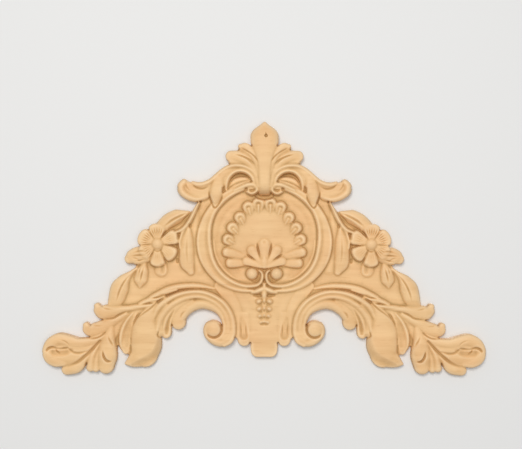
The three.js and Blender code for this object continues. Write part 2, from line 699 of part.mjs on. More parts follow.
// Three reeds that run round the lower arch
function reeds() {
  ridge(
    [
      [39.6, -96], [34, -92.4], [31.2, -85], [31.4, -74], [34.8, -63], [42, -53.6], [52, -47.3],
      [64, -43.9], [76, -44.3], [88, -47.6], [98, -53], [106, -60], [111, -70]
    ],
    [2.6, 2.8, 2.8, 2.8, 2.6, 2.5, 2.4, 2.4, 2.4, 2.6, 3, 3, 2],
    [6.8, 7, 7, 7, 7, 7, 7, 7, 7, 7, 7, 6.9, 6.6],
    [6.2, 6.4, 6.4, 6.2, 5.8, 5.4, 5.4, 5.6, 5.6, 5.6, 5.6, 5.8, 6.2]
  );
  ridge(
    [
      [41, -90], [37, -86.4], [35.6, -77], [38.4, -66.4], [45, -57.4], [54, -51.4], [64, -48.4],
      [75, -48.8], [86, -52.8], [96, -60], [103.6, -70], [106.6, -82]
    ],
    [2, 2.4, 2.6, 2.6, 2.6, 2.6, 2.6, 2.8, 3, 3.2, 3.4, 2], 6.9,
    [6.4, 6.4, 6.4, 6.2, 6, 5.6, 5.6, 5.6, 5.6, 5.8, 6, 6]
  );
  ridge(
    [
      [39.6, -80], [40.4, -71.4], [45.2, -62.6], [53, -57.6], [61.3, -55.6], [70, -57.4], [78, -63],
      [83, -71]
    ],
    [1.8, 2.6, 3.8, 4.8, 5.4, 5.4, 5, 4], [6, 6.6, 6.8, 6.8, 6.8, 6.6, 6.4, 6.2],
    [5.8, 5.2, 4.8, 4.6, 4.4, 4.4, 4.4, 4.6]
  );
}

// The volute that ends the reeds, filled up to its knob
function volute() {
  ridge(
    [[33, -84], [36.6, -91], [43.4, -94.3], [51, -91.6], [56.2, -85], [55.8, -78.4], [50.8, -75.6]],
    [3, 4.2, 4.3, 4.2, 4.3, 4, 3.6], [7, 7, 6.9, 6.8, 6.8, 7, 7.4], 5
  );
  ridge(
    [[38.6, -76], [39.4, -83], [43, -88.4], [48.6, -89.4], [53, -87]],
    [2.6, 4, 4.4, 3.6, 2], [6.6, 6.8, 6.8, 6.5, 6.2], 5.6
  );
  bead([50.2, -80.8], 8.5, 8, 5.6);
}

// The acanthus end: two hooked lobes, the curled scroll, and the folds under it
function acanthusEnd() {
  ridge(
    [[116, -60], [126, -63], [134, -67], [142, -73], [150, -82], [158, -94], [170, -104]],
    [3, 3.4, 3.8, 4.4, 6.4, 6.4, 4], 5.4, 4.4
  );
  ridge(
    [[120, -59.4], [139, -61], [152, -63.5], [160, -64.5], [165.2, -62], [167, -58.4]],
    [1.6, 3.6, 6.4, 7.4, 5.6, 3.2], [5.8, 6.4, 6.6, 6.6, 6.3, 5.8], 4.8
  );
  ridge(
    [[138, -66], [152, -73.8], [162, -79.5], [171, -82.4], [176.2, -81], [178, -77.6]],
    [2.6, 5.2, 6.8, 6.8, 5.6, 3.2], [6, 6.4, 6.4, 6.4, 6.1, 5.6], 4.8
  );
  ridge(
    [[160, -90], [174, -97], [189, -102.4], [203, -103.4]],
    [3, 7.6, 13, 16], [5.8, 6.2, 6.4, 6.2], [4.8, 4.8, 4.6, 4.4], { fullness: 3, cap: 1.1 }
  );
  ridge(
    [
      [160, -87.6], [172, -93], [184, -95], [194, -93.4], [204.6, -91.6], [212.4, -95.4], [216, -102.4],
      [214.6, -109.6], [208.6, -114], [200, -115]
    ],
    [2.4, 4, 4.6, 5.6, 6, 5.6, 5.2, 5.2, 4.8, 3.4], [6.4, 6.7, 6.8, 6.9, 7, 7, 6.8, 6.7, 6.5, 6.2], 5.6
  );
  ridge(
    [[172, -103], [180, -112], [188, -119], [197, -121.8]],
    [1.8, 4, 6.6, 5.6], [5.8, 6, 6, 5.6], 4.4
  );
  ridge([[167, -98], [172, -109], [173.6, -119.8]], [2.2, 3.6, 4.2], [6, 6.2, 6], 4.4);
  ridge([[164.5, -102], [167.4, -112], [168, -120.8]], [2, 3.2, 3.6], [5.8, 6, 5.8], 4.4);
  ridge(
    [[153, -80], [156, -94], [156.8, -108], [158, -117.8]],
    [4, 7.6, 9.8, 8.2], [6.2, 7, 7, 6.2], 4.4, { fullness: 2.2 }
  );
  groove(
    [[163, -92], [171, -101], [178, -107.6], [186, -114], [196, -118.4]],
    [0.8, 1.8, 1.8, 1.6, 1], [5, 4.8, 4.8, 5, 5.2], 6.8
  );
  groove(
    [[217, -103], [215, -100.6], [211, -99.4], [205, -101], [199, -100.4], [195.6, -99.8]],
    [0.8, 1.2, 1.4, 1.2, 1.4, 1], [5.6, 5.2, 5.2, 5.4, 5, 5.4], 7.2
  );
  groove(
    [[172, -102.4], [178, -103.8], [185, -105], [190, -104.2], [195, -100.6]],
    [0.6, 1, 1.3, 1.2, 0.8], [5.8, 5.6, 5.5, 5.5, 5.7], 7
  );
}

// The small round pit near the tip of the crown
function pit() {
  const depth = PIT_DEPTH + CLEAR;
  const drill = new THREE.CylinderGeometry(PIT_WIDTH / 2, PIT_WIDTH / 2, depth, 12);
  const face = level(7.4);
  drill.translate(1.4 * UNIT, -(face - PIT_DEPTH + depth / 2), 111.8 * UNIT);
  cut(drill, true);
}

// The flat back
function planeBack() {
  const plank = new THREE.BoxGeometry(2 * WIDTH, 2 * BELOW, 2 * WIDTH);
  plank.translate(0, BELOW, 0);
  cut(plank, true);
}

// Fewer, larger facets: short edges are closed up one at a time, the least noticeable first, until
// FACETS triangles are left. An edge is only closed where the skin stays whole and doesn't fold.
function thinned(solid) {
  const skinned = solid.getMesh();
  const places = [];
  for (let i = 0; i < skinned.vertProperties.length; i += skinned.numProp) {
    places.push(new THREE.Vector3().fromArray(skinned.vertProperties, i));
  }
  const facets = [];
  for (let i = 0; i < skinned.triVerts.length; i += 3) {
    facets.push(Array.from(skinned.triVerts.slice(i, i + 3)));
  }
  const around = places.map(() => new Set());
  facets.forEach((facet, f) => facet.forEach((v) => around[v].add(f)));
  const errors = places.map(() => new Array(10).fill(0));
  for (const facet of facets) {
    const plane = planeOf(...facet.map((v) => places[v]));
    for (const v of facet) plane.forEach((value, k) => { errors[v][k] += value; });
  }
  const stamp = new Array(places.length).fill(0);
  const queue = new Queue();
  const enter = (from, to) => {
    const length = places[from].distanceTo(places[to]);
    const cost = errorAt(errors[from], places[to]) + errorAt(errors[to], places[to]) + 1e-5 * length;
    queue.push({ cost, from, to, mark: stamp[from] + stamp[to] });
  };
  const neighbours = (v) => {
    const found = new Set();
    for (const f of around[v]) for (const w of facets[f]) if (w !== v) found.add(w);
    return found;
  };
  places.forEach((place, v) => neighbours(v).forEach((w) => enter(v, w)));

  const closes = (from, to) => {
    const shared = [...around[from]].filter((f) => facets[f].includes(to));
    if (shared.length !== 2) return false;
    const near = neighbours(to);
    if ([...neighbours(from)].filter((v) => near.has(v)).length !== 2) return false;
    for (const f of around[from]) {
      if (facets[f].includes(to)) continue;
      const before = crossOf(...facets[f].map((v) => places[v]));
      const after = crossOf(...facets[f].map((v) => places[v === from ? to : v]));
      if (after.length() < 1e-3) return false;
      if (before.length() > 1e-3 && before.normalize().dot(after.normalize()) < 0.3) return false;
    }
    return true;
  };

  let left = facets.length;
  while (left > FACETS && queue.size) {
    const { from, to, mark } = queue.pop();
    if (mark !== stamp[from] + stamp[to] || stamp[from] < 0 || stamp[to] < 0) continue;
    if (!closes(from, to)) continue;
    for (const f of around[from]) {
      if (facets[f].includes(to)) {
        facets[f].forEach((v) => v !== from && around[v].delete(f));
        facets[f] = null;
        left -= 1;
      } else {
        facets[f][facets[f].indexOf(from)] = to;
        around[to].add(f);
      }
    }
    errors[from].forEach((value, k) => { errors[to][k] += value; });
    around[from].clear();
    stamp[from] = -Infinity;
    stamp[to] += 1;
    for (const v of neighbours(to)) {
      enter(v, to);
      enter(to, v);
    }
  }
  const geometry = new THREE.BufferGeometry();
  const corners = facets.filter((facet) => facet).flat();
  geometry.setAttribute('position', new THREE.Float32BufferAttribute(
    corners.flatMap((v) => places[v].toArray()), 3
  ));
  return solidOf(geometry, 1);
}

function crossOf(a, b, c) {
  return b.clone().sub(a).cross(c.clone().sub(a));
}

// The squared distance to a facet's plane, weighed by its area, as the ten terms of its quadric
function planeOf(a, b, c) {
  const normal = crossOf(a, b, c);
  const area = normal.length() / 2;
  if (area < 1e-9) return new Array(10).fill(0);
  const { x, y, z } = normal.normalize();
  const w = -normal.dot(a);
  return [x * x, x * y, x * z, x * w, y * y, y * z, y * w, z * z, z * w, w * w].map((t) => t * area);
}

function errorAt(q, { x, y, z }) {
  return (
    q[0] * x * x + 2 * q[1] * x * y + 2 * q[2] * x * z + 2 * q[3] * x + q[4] * y * y +
    2 * q[5] * y * z + 2 * q[6] * y + q[7] * z * z + 2 * q[8] * z + q[9]
  );
}

// A heap that hands back its cheapest entry first
class Queue {
  constructor() {
    this.heap = [];
  }

  get size() {
    return this.heap.length;
  }

  push(entry) {
    const { heap } = this;
    let i = heap.push(entry) - 1;
    while (i > 0) {
      const up = (i - 1) >> 1;
      if (heap[up].cost <= heap[i].cost) break;
      [heap[up], heap[i]] = [heap[i], heap[up]];
      i = up;
    }
  }

  pop() {
    const { heap } = this;
    const first = heap[0];
    const last = heap.pop();
    if (heap.length) {
      heap[0] = last;
      let i = 0;
      for (;;) {
        const left = 2 * i + 1;
        const right = left + 1;
        let least = i;
        if (left < heap.length && heap[left].cost < heap[least].cost) least = left;
        if (right < heap.length && heap[right].cost < heap[least].cost) least = right;
        if (least === i) break;
        [heap[least], heap[i]] = [heap[i], heap[least]];
        i = least;
      }
    }
    return first;
  }
}

groundPlates();
panel();
ring();
innerReed();
shell();
palmette();
foot();
footHollow();
husks();
crown();
arch();
eyeScrolls();
wing();
dropLeaf();
stemAndDroopingLeaf();
leavesRoundFlower();
flower();
archScroll();
bigLeaf();
archLobes();
reeds();
volute();
acanthusEnd();
pit();
planeBack();

function meshOf(solid) {
  const skinned = solid.getMesh();
  const geometry = new THREE.BufferGeometry();
  const place = [];
  for (let i = 0; i < skinned.vertProperties.length; i += skinned.numProp) {
    place.push(...skinned.vertProperties.slice(i, i + 3));
  }
  geometry.setAttribute('position', new THREE.Float32BufferAttribute(place, 3));
  geometry.setIndex(Array.from(skinned.triVerts));
  geometry.computeVertexNormals();
  return geometry;
}

const wood = new THREE.MeshStandardMaterial({ color: 0xd8ae7c, roughness: 0.62, metalness: 0 });
const applique = new THREE.Mesh(meshOf(thinned(body)), wood);
applique.name = 'applique';

const part = new THREE.Group();
part.add(applique);

export default part;
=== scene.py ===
import math

import bmesh
import bpy
import numpy as np
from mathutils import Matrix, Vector
from mathutils.geometry import delaunay_2d_cdt


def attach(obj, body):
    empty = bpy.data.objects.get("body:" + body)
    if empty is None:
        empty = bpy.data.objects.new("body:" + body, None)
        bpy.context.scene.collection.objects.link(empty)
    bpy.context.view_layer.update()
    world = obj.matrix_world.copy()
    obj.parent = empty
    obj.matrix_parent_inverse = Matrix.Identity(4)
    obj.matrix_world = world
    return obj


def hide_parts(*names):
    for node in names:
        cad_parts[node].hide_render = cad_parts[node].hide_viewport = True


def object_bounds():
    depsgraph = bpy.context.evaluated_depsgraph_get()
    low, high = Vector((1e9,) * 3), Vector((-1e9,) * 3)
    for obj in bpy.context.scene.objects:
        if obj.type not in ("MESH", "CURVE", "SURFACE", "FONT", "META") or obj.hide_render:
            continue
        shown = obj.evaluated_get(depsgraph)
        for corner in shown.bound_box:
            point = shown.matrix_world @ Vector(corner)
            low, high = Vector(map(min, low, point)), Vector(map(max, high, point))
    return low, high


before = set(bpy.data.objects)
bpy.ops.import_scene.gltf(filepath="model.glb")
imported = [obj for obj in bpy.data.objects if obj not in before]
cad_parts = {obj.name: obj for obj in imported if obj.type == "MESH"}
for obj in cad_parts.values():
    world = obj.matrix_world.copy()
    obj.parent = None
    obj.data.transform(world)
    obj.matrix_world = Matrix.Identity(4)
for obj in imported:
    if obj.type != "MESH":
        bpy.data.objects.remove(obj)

CAD_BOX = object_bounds()

# Sizes in millimetres
MM = 0.001
WIDTH = 280.0  # from one curled end to the other
GROUND = 4.2  # thickness of the plain wood between the leaves
PANEL = 3.4  # thickness of the sunk panel behind the shell
SHELL = 4.8  # thickness of the shell between its loops
FOOT = 5.2  # thickness of the waisted middle under the ring
TONGUE = 5.8  # thickness of the tongue at the foot
RELIEF = 12.0  # from the flat back to the highest carving, the stem of the crown
THROAT = 1.6  # thickness left in the dark hollow where the crown's stem ends
EDGE_ROUND = 0.75  # how far the outer edge is rounded over
PIT_WIDTH = 2.0
PIT_DEPTH = 1.6
PIT_PLACE = (1.4, 111.8)  # in squares, see below
ROLL = math.radians(-0.13)  # the applique leans a little to the right in the picture

# The ornament is drawn on squared paper, SQUARES of them across. A point is [u, v]: u squares out
# from the centre line and v squares up from the middle of the height. Widths are in squares too.
# Heights over the back are drawn for a relief of DRAWN_RELIEF over the same plain ground. One half
# is drawn, and then mirrored.
SQUARES = 443.2
DRAWN_RELIEF = 9.6
UNIT = WIDTH / SQUARES
STRETCH = (RELIEF - GROUND) / (DRAWN_RELIEF - GROUND)
STEP = 0.4  # squares between two samples of the height
OUT = 225.0  # squares from the centre line to the side of the sheet
UP = 129.0  # squares from the middle to its top, and to its foot
EDGE_REACH = 1.6  # squares over which the distance to the outline is known
HEART = (106.4, 4)  # the middle of the flower
OUTLINE_BLUR = 0.55  # squares over which the outline is smoothed
FORM_BLUR = 0.5  # squares over which the forms run into each other
LINE_BLUR = 0.3  # the same for the fine lines
SKIN_TRIANGLES = 93000  # for one half
SHARP_EDGE = math.radians(55)  # edges that turn by more than this stay sharp


# The half sheet of heights, and of distances into the outline
ACROSS = np.arange(0, OUT, STEP)
ALONG = np.arange(-UP, UP, STEP)
height = np.zeros((len(ALONG), len(ACROSS)))
inside = np.full(height.shape, -EDGE_REACH)


def level(drawn):
    """The real height of a drawn one: what lies above or below the plain ground is deepened."""
    return GROUND + (drawn - GROUND) * STRETCH


def curve_through(points, per, closed=False):
    """A smooth curve through the drawn points, and where each of its points lies among them."""
    p = np.asarray(points, float)
    if closed:
        q = np.vstack([p[-1], p, p[0], p[1]])
    else:
        q = np.vstack([2 * p[0] - p[1], p, 2 * p[-1] - p[-2]])
    line, place = [], []
    for i in range(1, len(q) - 2):
        x0, x1, x2, x3 = q[i - 1:i + 3]
        d0, d1, d2 = [max(np.linalg.norm(b - a), 1e-4) ** 0.5 for a, b in ((x0, x1), (x1, x2), (x2, x3))]
        m1 = ((x1 - x0) / d0 - (x2 - x0) / (d0 + d1) + (x2 - x1) / d1) * d1
        m2 = ((x2 - x1) / d1 - (x3 - x1) / (d1 + d2) + (x3 - x2) / d2) * d1
        last = i == len(q) - 3 and not closed
        t = (np.arange(per + last) / per)[:, None]
        line.append(x1 * (2 * t**3 - 3 * t**2 + 1) + m1 * (t**3 - 2 * t**2 + t)
                    + x2 * (3 * t**2 - 2 * t**3) + m2 * (t**3 - t**2))
        place.append(i - 1 + t[:, 0])
    return np.vstack(line), np.concatenate(place)


def along(values, count, place):
    """A size given at each drawn point, or once for all of them, read along the curve."""
    if np.ndim(values) == 0:
        return np.full(len(place), float(values))
    v = np.asarray(values, float)
    step = np.diff(v)
    slope = np.zeros(count)
    for i in range(1, count - 1):
        if step[i - 1] * step[i] > 0:
            slope[i] = 2 * step[i - 1] * step[i] / (step[i - 1] + step[i])
    slope[0], slope[-1] = step[0], step[-1]
    i = np.minimum(place.astype(int), count - 2)
    t = place - i
    return (v[i] * (2 * t**3 - 3 * t**2 + 1) + slope[i] * (t**3 - 2 * t**2 + t)
            + v[i + 1] * (3 * t**2 - 2 * t**3) + slope[i + 1] * (t**3 - t**2))


def fewest(rows, drift):
    """The stations worth keeping: straight runs between them stay within drift of every row."""
    kept = [0, len(rows) - 1]
    spans = [(0, len(rows) - 1)]
    while spans:
        a, b = spans.pop()
        if b - a < 2:
            continue
        t = np.arange(1, b - a)[:, None] / (b - a)
        off = np.abs(rows[a + 1:b] - (rows[a] * (1 - t) + rows[b] * t)).max(1)
        i = int(off.argmax())
        if off[i] > drift:
            kept.append(a + 1 + i)
            spans += [(a, a + 1 + i), (a + 1 + i, b)]
    return sorted(kept)


def stations(points, half, crest, foot, fullness=2, lean=0, ends="both", cap=1.0):
    """Stations along a form, one row each: its centre u and v, half width, crest and foot heights,
    lean, and direction u and v."""
    count = len(points)
    centre, place = curve_through(points, 12)
    wide = along(half, count, place)
    top, low = along(crest, count, place), along(foot, count, place)
    way = np.gradient(centre, axis=0)
    way /= np.linalg.norm(way, axis=1)[:, None]
    rows = np.column_stack([centre, wide, top, low, along(lean, count, place), way])
    side = np.column_stack([-way[:, 1], way[:, 0]]) * wide[:, None]
    rows = rows[fewest(np.column_stack([centre, centre + side, centre - side, top]), 0.05)]

    def capped(row, sign):
        extra = []
        for turn in np.linspace(0, math.pi / 2, 6)[1:]:
            reach = min(math.sin(turn), 0.9999)
            more = row.copy()
            more[0:2] += sign * row[6:8] * row[2] * cap * reach
            more[2] = row[2] * max(math.cos(turn), 0.06)
            more[3] = row[4] + (row[3] - row[4]) * (1 - reach**fullness) ** (1 / fullness)
            extra.append(more)
        return extra

    if ends in ("both", "start") and rows[0][2] > 0.9:
        rows = np.vstack([np.array(capped(rows[0], -1))[::-1], rows])
    if ends in ("both", "end") and rows[-1][2] > 0.9:
        rows = np.vstack([rows, np.array(capped(rows[-1], 1))])
    return rows


def window(low, high):
    """The part of the sheet between two corners, and where its samples lie."""
    i0, i1 = np.searchsorted(ACROSS, [low[0], high[0]])
    j0, j1 = np.searchsorted(ALONG, [low[1], high[1]])
    U, V = np.meshgrid(ACROSS[i0:i1], ALONG[j0:j1])
    return (slice(j0, j1), slice(i0, i1)), U, V


def bring_to(part, on, face, cutting):
    """Cuts the wood down to the face where it stands higher, or raises it where it lies lower."""
    h = height[part]
    chosen = np.minimum(h, face) if cutting else np.maximum(h, face)
    h[on] = chosen[on]


def lay(rows, fullness, cutting):
    """Raises a form through its stations, or cuts it. Each stretch between two stations is swept by
    a straight rung that turns and widens from the one to the other."""
    centre = rows[:, 0:2]
    rung = np.column_stack([-rows[:, 7], rows[:, 6]]) * rows[:, 2:3]
    for i in range(len(rows) - 1):
        dc, dr = centre[i + 1] - centre[i], rung[i + 1] - rung[i]
        reach = [1 + EDGE_REACH / max(rows[k, 2], 0.05) for k in (i, i + 1)]
        corners = np.array([
            centre[k] + side * rung[k] * reach[k - i] for k in (i, i + 1) for side in (1, -1)
        ])
        part, U, V = window(corners.min(0), corners.max(0))
        if not U.size:
            continue
        du, dv = U - centre[i, 0], V - centre[i, 1]
        a = -(dc[0] * dr[1] - dc[1] * dr[0])
        b = (du * dr[1] - dv * dr[0]) - (dc[0] * rung[i, 1] - dc[1] * rung[i, 0])
        c = du * rung[i, 1] - dv * rung[i, 0]
        if abs(a) < 1e-9:
            t = -c / np.where(np.abs(b) < 1e-12, 1e-12, b)
            real = np.ones(t.shape, bool)
        else:
            under = b * b - 4 * a * c
            real = under >= 0
            q = -0.5 * (b + np.where(b < 0, -1, 1) * np.sqrt(np.maximum(under, 0)))
            t1, t2 = q / a, c / np.where(np.abs(q) < 1e-12, 1e-12, q)
            t = np.where((t2 >= -1e-6) & (t2 <= 1 + 1e-6), t2, t1)
        real &= (t >= -1e-6) & (t <= 1 + 1e-6)
        if not real.any():
            continue
        t = np.clip(t, 0, 1)
        ru, rv = rung[i, 0] + t * dr[0], rung[i, 1] + t * dr[1]
        wide = np.maximum(np.hypot(ru, rv), 1e-3)
        s = ((du - t * dc[0]) * ru + (dv - t * dc[1]) * rv) / wide**2
        crest, foot, lean = [rows[i, k] + t * (rows[i + 1, k] - rows[i, k]) for k in (3, 4, 5)]
        q = np.clip(np.where(s > lean, (s - lean) / (1 - lean), (lean - s) / (1 + lean)), 0, 1)
        z = level(foot + (crest - foot) * (1 - q**fullness) ** (1 / fullness))
        bring_to(part, real & (np.abs(s) <= 1), z, cutting)
        if not cutting:
            f = inside[part]
            f[real] = np.maximum(f, wide * (1 - np.abs(s)))[real]


def distance_to(line, U, V):
    """Distance from each sample to a line, and how far along the line's points its foot lies."""
    best = np.full(U.shape, 1e9)
    place = np.zeros(U.shape)
    for i, (a, b) in enumerate(zip(line[:-1], line[1:])):
        e = b - a
        length = e @ e
        if length < 1e-12:
            continue
        t = np.clip(((U - a[0]) * e[0] + (V - a[1]) * e[1]) / length, 0, 1)
        d = np.hypot(U - a[0] - t * e[0], V - a[1] - t * e[1])
        nearer = d < best
        best[nearer] = d[nearer]
        place[nearer] = (i + t)[nearer]
    return best, place


def within(edges, U, V):
    """True for each sample inside the closed line that the edges make."""
    found = np.zeros(U.shape, bool)
    for a, b in edges:
        if a[1] != b[1]:
            found ^= ((a[1] > V) != (b[1] > V)) & (U < a[0] + (V - a[1]) * (b[0] - a[0]) / (b[1] - a[1]))
    return found


def fill(outline, face, cutting):
    """A level face inside a smooth closed outline."""
    line = curve_through(outline, 6, closed=True)[0]
    part, U, V = window(line.min(0) - 2, line.max(0) + 2)
    on = within(zip(line, np.roll(line, -1, 0)), U, V)
    bring_to(part, on, face, cutting)
    if not cutting:
        off = distance_to(np.vstack([line, line[:1]]), U, V)[0]
        inside[part] = np.maximum(inside[part], np.where(on, off, -off))


def ridge(points, half, crest, foot, **shape):
    """A raised form: crest is its height along the middle, foot its height along both edges.
    Fullness 2 gives a half-round section, and more gives a flatter top with steeper sides."""
    lay(stations(points, half, crest, foot, **shape), shape.get("fullness", 2), False)


def groove(points, half, crest, foot, **shape):
    """A hollow cut the same way, with crest as the height left along its middle."""
    lay(stations(points, half, crest, foot, **shape), shape.get("fullness", 2), True)


def bead(centre, radius, crest, foot):
    """A round knob with a domed top."""
    u, v = centre
    ridge([[u - 0.02, v], [u + 0.02, v]], radius, crest, foot)


def plate(outline, face):
    """A level slab."""
    fill(outline, face, False)


def pocket(outline, face):
    """A hollow with a level floor."""
    fill(outline, face, True)


def mirrored(outline):
    """The whole outline of a form that lies across the centre line, from its half."""
    return [[-u, v] for u, v in outline[::-1] if u > 0.01] + outline


def incise(points, half, depth):
    """A fine line cut into whatever is there, half wide at each point and depth deep in the middle.
    With a negative depth it is a raised line, or a soft swell where it is wide."""
    path, place = curve_through(points, 8)
    count = len(points)
    wide, deep = along(half, count, place), along(depth, count, place)
    pad = wide.max() + STEP
    part, U, V = window(path.min(0) - pad, path.max(0) + pad)
    off, at = distance_to(path, U, V)
    span = np.arange(len(path))
    q = np.clip(off / np.maximum(np.interp(at, span, wide), 0.05), 0, 1)
    height[part] -= np.interp(at, span, deep) * (1 - q * q) ** 2


def soft(field, sigma):
    """The field blurred over sigma squares. It is mirrored at the centre line."""
    spread = sigma / STEP
    reach = int(math.ceil(3 * spread))
    weights = np.exp(-0.5 * (np.arange(-reach, reach + 1) / spread) ** 2)
    weights /= weights.sum()
    for axis in (0, 1):
        turned = np.moveaxis(field, axis, 0)
        padded = np.pad(turned, [(reach, reach), (0, 0)], mode="reflect")
        turned = sum(w * padded[k:k + len(turned)] for k, w in enumerate(weights))
        field = np.moveaxis(turned, 0, axis)
    return field


def ground_plates():
    """Plain ground: behind the middle, behind the flowers and scrolls, and behind each corner's leaves."""
    plate(mirrored([[0, 100], [14, 99], [24, 99.5], [31, 95], [36, 89], [36, 82], [40, 76], [50, 67],
                    [58, 62], [63, 47], [68, 36], [74, 22], [76, 4], [74, -14], [66, -30], [52, -38],
                    [42, -46], [36, -58], [33, -72], [30, -86], [24, -92], [16, -94], [0, -96]]), GROUND)
    plate([[58, 56], [64, 45], [74, 36], [88, 31], [100, 24], [112, 14], [120, 2], [126, -14], [133, -25],
           [142, -33], [150, -42], [152, -56], [148, -70], [136, -78], [120, -80], [108, -76], [97, -72],
           [88, -62], [76, -62], [68, -59.5], [60, -58], [52, -60], [45, -65.5], [42.5, -72], [42, -78],
           [48, -84], [44, -91], [36, -90], [33, -78], [36, -62], [40, -52], [50, -34], [64, -20],
           [64, 10]], GROUND)
    plate([[140, -60], [158, -72], [170, -84], [178, -94], [182, -106], [174, -114], [166, -117],
           [154, -117], [149, -108], [146.4, -98], [142.6, -102.6], [137, -106], [132, -109], [120, -104],
           [108, -92], [106, -76], [120, -62]], GROUND)


def panel():
    """The sunk panel inside the ring, rising a little under the knobs and towards the ring."""
    pocket(mirrored([[0, 60], [14, 57.6], [22, 55.6], [32.5, 50.4], [42.3, 41.8], [48.5, 33], [52.2, 22],
                     [53.4, 11], [52.6, -1], [49.4, -12], [43.6, -20.8], [35.2, -28.8], [24, -34],
                     [12, -35], [0, -34]]), PANEL)
    incise([[5, -27], [19, -27]], 11, -1.4)
    rim = [[12, 57], [31, 50], [46.8, 33], [52, 11], [48.6, -11.4], [35, -28.6], [12, -34.4]]
    incise(rim, 7, -1.1)


def ring():
    """The ring round the panel: a broad outer band and a reed inside it that curls up into a coil."""
    ridge([[20, 62], [31, 58], [41, 52.2], [50.2, 42.8], [58, 29.8], [62, 17], [63, 5], [61, -8],
           [56, -19.6], [47.2, -30.6], [36, -38.2], [23, -42], [11, -42.6]],
          [1.4, 2, 2.4, 3, 3.8, 4.4, 4.8, 4.6, 4, 3.2, 2.5, 2.2, 1.8], 6.2,
          [5.6, 5.6, 5.5, 5.4, 5.4, 5.4, 5.4, 5.3, 5.2, 5.1, 5, 4.9, 4.8], fullness=2.2)
    ridge([[21, 59], [32, 54], [42, 46.5], [50.3, 36], [54.5, 24], [55.4, 12], [54.2, -1], [51, -13],
           [44.8, -23.5], [35, -32], [23, -37.2], [12, -38], [6, -36.4], [3, -33], [1.9, -28.5],
           [2.6, -24.6], [5, -22.4]],
          [1.8, 2.1, 2.3, 2.4, 2.4, 2.4, 2.4, 2.4, 2.3, 2.2, 2.1, 2.1, 2, 1.9, 1.8, 1.7, 1.2],
          [6.6, 6.6, 6.5, 6.4, 6.4, 6.4, 6.4, 6.5, 6.5, 6.5, 6.6, 6.8, 7, 7.2, 7.3, 7.3, 7],
          [5.7, 5.6, 5.5, 5.5, 5.5, 5.5, 5.5, 5.4, 5.3, 5.2, 5.1, 5, 5, 5, 5, 5, 5])


def ring_floor():
    """The floor of the groove between the ring's band and its reed."""
    ridge([[31, 56.5], [42, 49.5], [50.6, 39.6], [56.6, 27], [59, 14.6], [59, 2], [56.4, -10.4],
           [50.6, -21.6], [41.2, -31.4], [29.6, -37.8], [17, -40.4]],
          2.6, 5.75, 5.65, ends="none")


def inner_reed():
    """A low reed round the inside of the ring."""
    ridge([[50.4, 8], [49.4, -4], [45.6, -14], [40, -22], [31.5, -29], [21, -33], [10, -33.4]],
          [0.7, 1.3, 1.5, 1.5, 1.5, 1.3, 0.9], 4.8, 3.6)


def shell():
    """The scallop shell on the panel, domed in the middle, with loops round its rim."""
    root = [0, -14]
    plate(mirrored([[0, 46], [9.5, 45.5], [20, 37.5], [27.3, 27.5], [33, 17], [37, 5], [38, -5],
                    [34, -14.5], [20, -18.5], [0, -20]]), SHELL)
    incise([[0, -8], [0, 12]], 25, -1.2)
    # Loops round the rim, each turned away from the root and holding a small drop
    loops = (
        ([6, 44.6], 1.1), ([16.2, 41], 1), ([24.6, 30.6], 0.95), ([32, 20.2], 0.95), ([36.4, 8.6], 0.95)
    )
    for (u, v), size in loops:
        turn = 0.0 if u < 8 else math.atan2(u - root[0], v - root[1])

        def at(out, aside):
            return [u + size * (aside * math.cos(turn) + out * math.sin(turn)),
                    v + size * (out * math.cos(turn) - aside * math.sin(turn))]

        ridge([at(-5.5, 2.4), at(-2, 3.5), at(1.4, 3.1), at(3, 0), at(1.4, -3.1), at(-2, -3.5),
               at(-5.5, -2.4)],
              [1.2, 2, 2.6, 2.8, 2.6, 2, 1.2], [5, 5.9, 6.4, 6.6, 6.4, 5.9, 5], 4.9)
        ridge([at(-9, 0), at(-5, 0), at(-1.6, 0)], [0.6, 1.3, 1.8], [5, 5.7, 6], 4.7)
    # Two plain finger lobes low at each side
    ridge([[22, -8], [32, -5.5], [38, -4.2]],
          [3, 4.6, 4.8], [5, 5.8, 6.2], [4.6, 4.4, 4.4], fullness=2.4, cap=0.85)
    ridge([[20, -15], [29, -15], [34.5, -15]],
          [3, 4.8, 5], [5, 5.8, 6.2], [4.6, 4.4, 4.4], fullness=2.4, cap=0.85)


def palmette():
    """The small palmette at the root of the shell, between two knobs."""
    ridge([[0, -18], [0, -8], [0, 4]], [3, 4.6, 6.2], [7.2, 6.9, 6.4], [6, 5.2, 4.8], fullness=2.4)
    ridge([[2, -17], [8, -8.6], [12.2, -2.4]],
          [2.6, 4.2, 5.3], [7, 6.7, 6.3], [6, 5.2, 4.8], fullness=2.2)
    ridge([[3, -18], [10, -15.5], [17.6, -13.4]],
          [2.6, 4, 4.7], [7, 6.7, 6.2], [6, 5.2, 4.8], fullness=2.2)
    ridge([[0, -17.5], [0, -14], [0, -9]], [5, 5.6, 3], [7.2, 7.4, 7.2], 5.6, cap=0.7)
    bead([12.2, -25.6], 6, 7.8, 5)


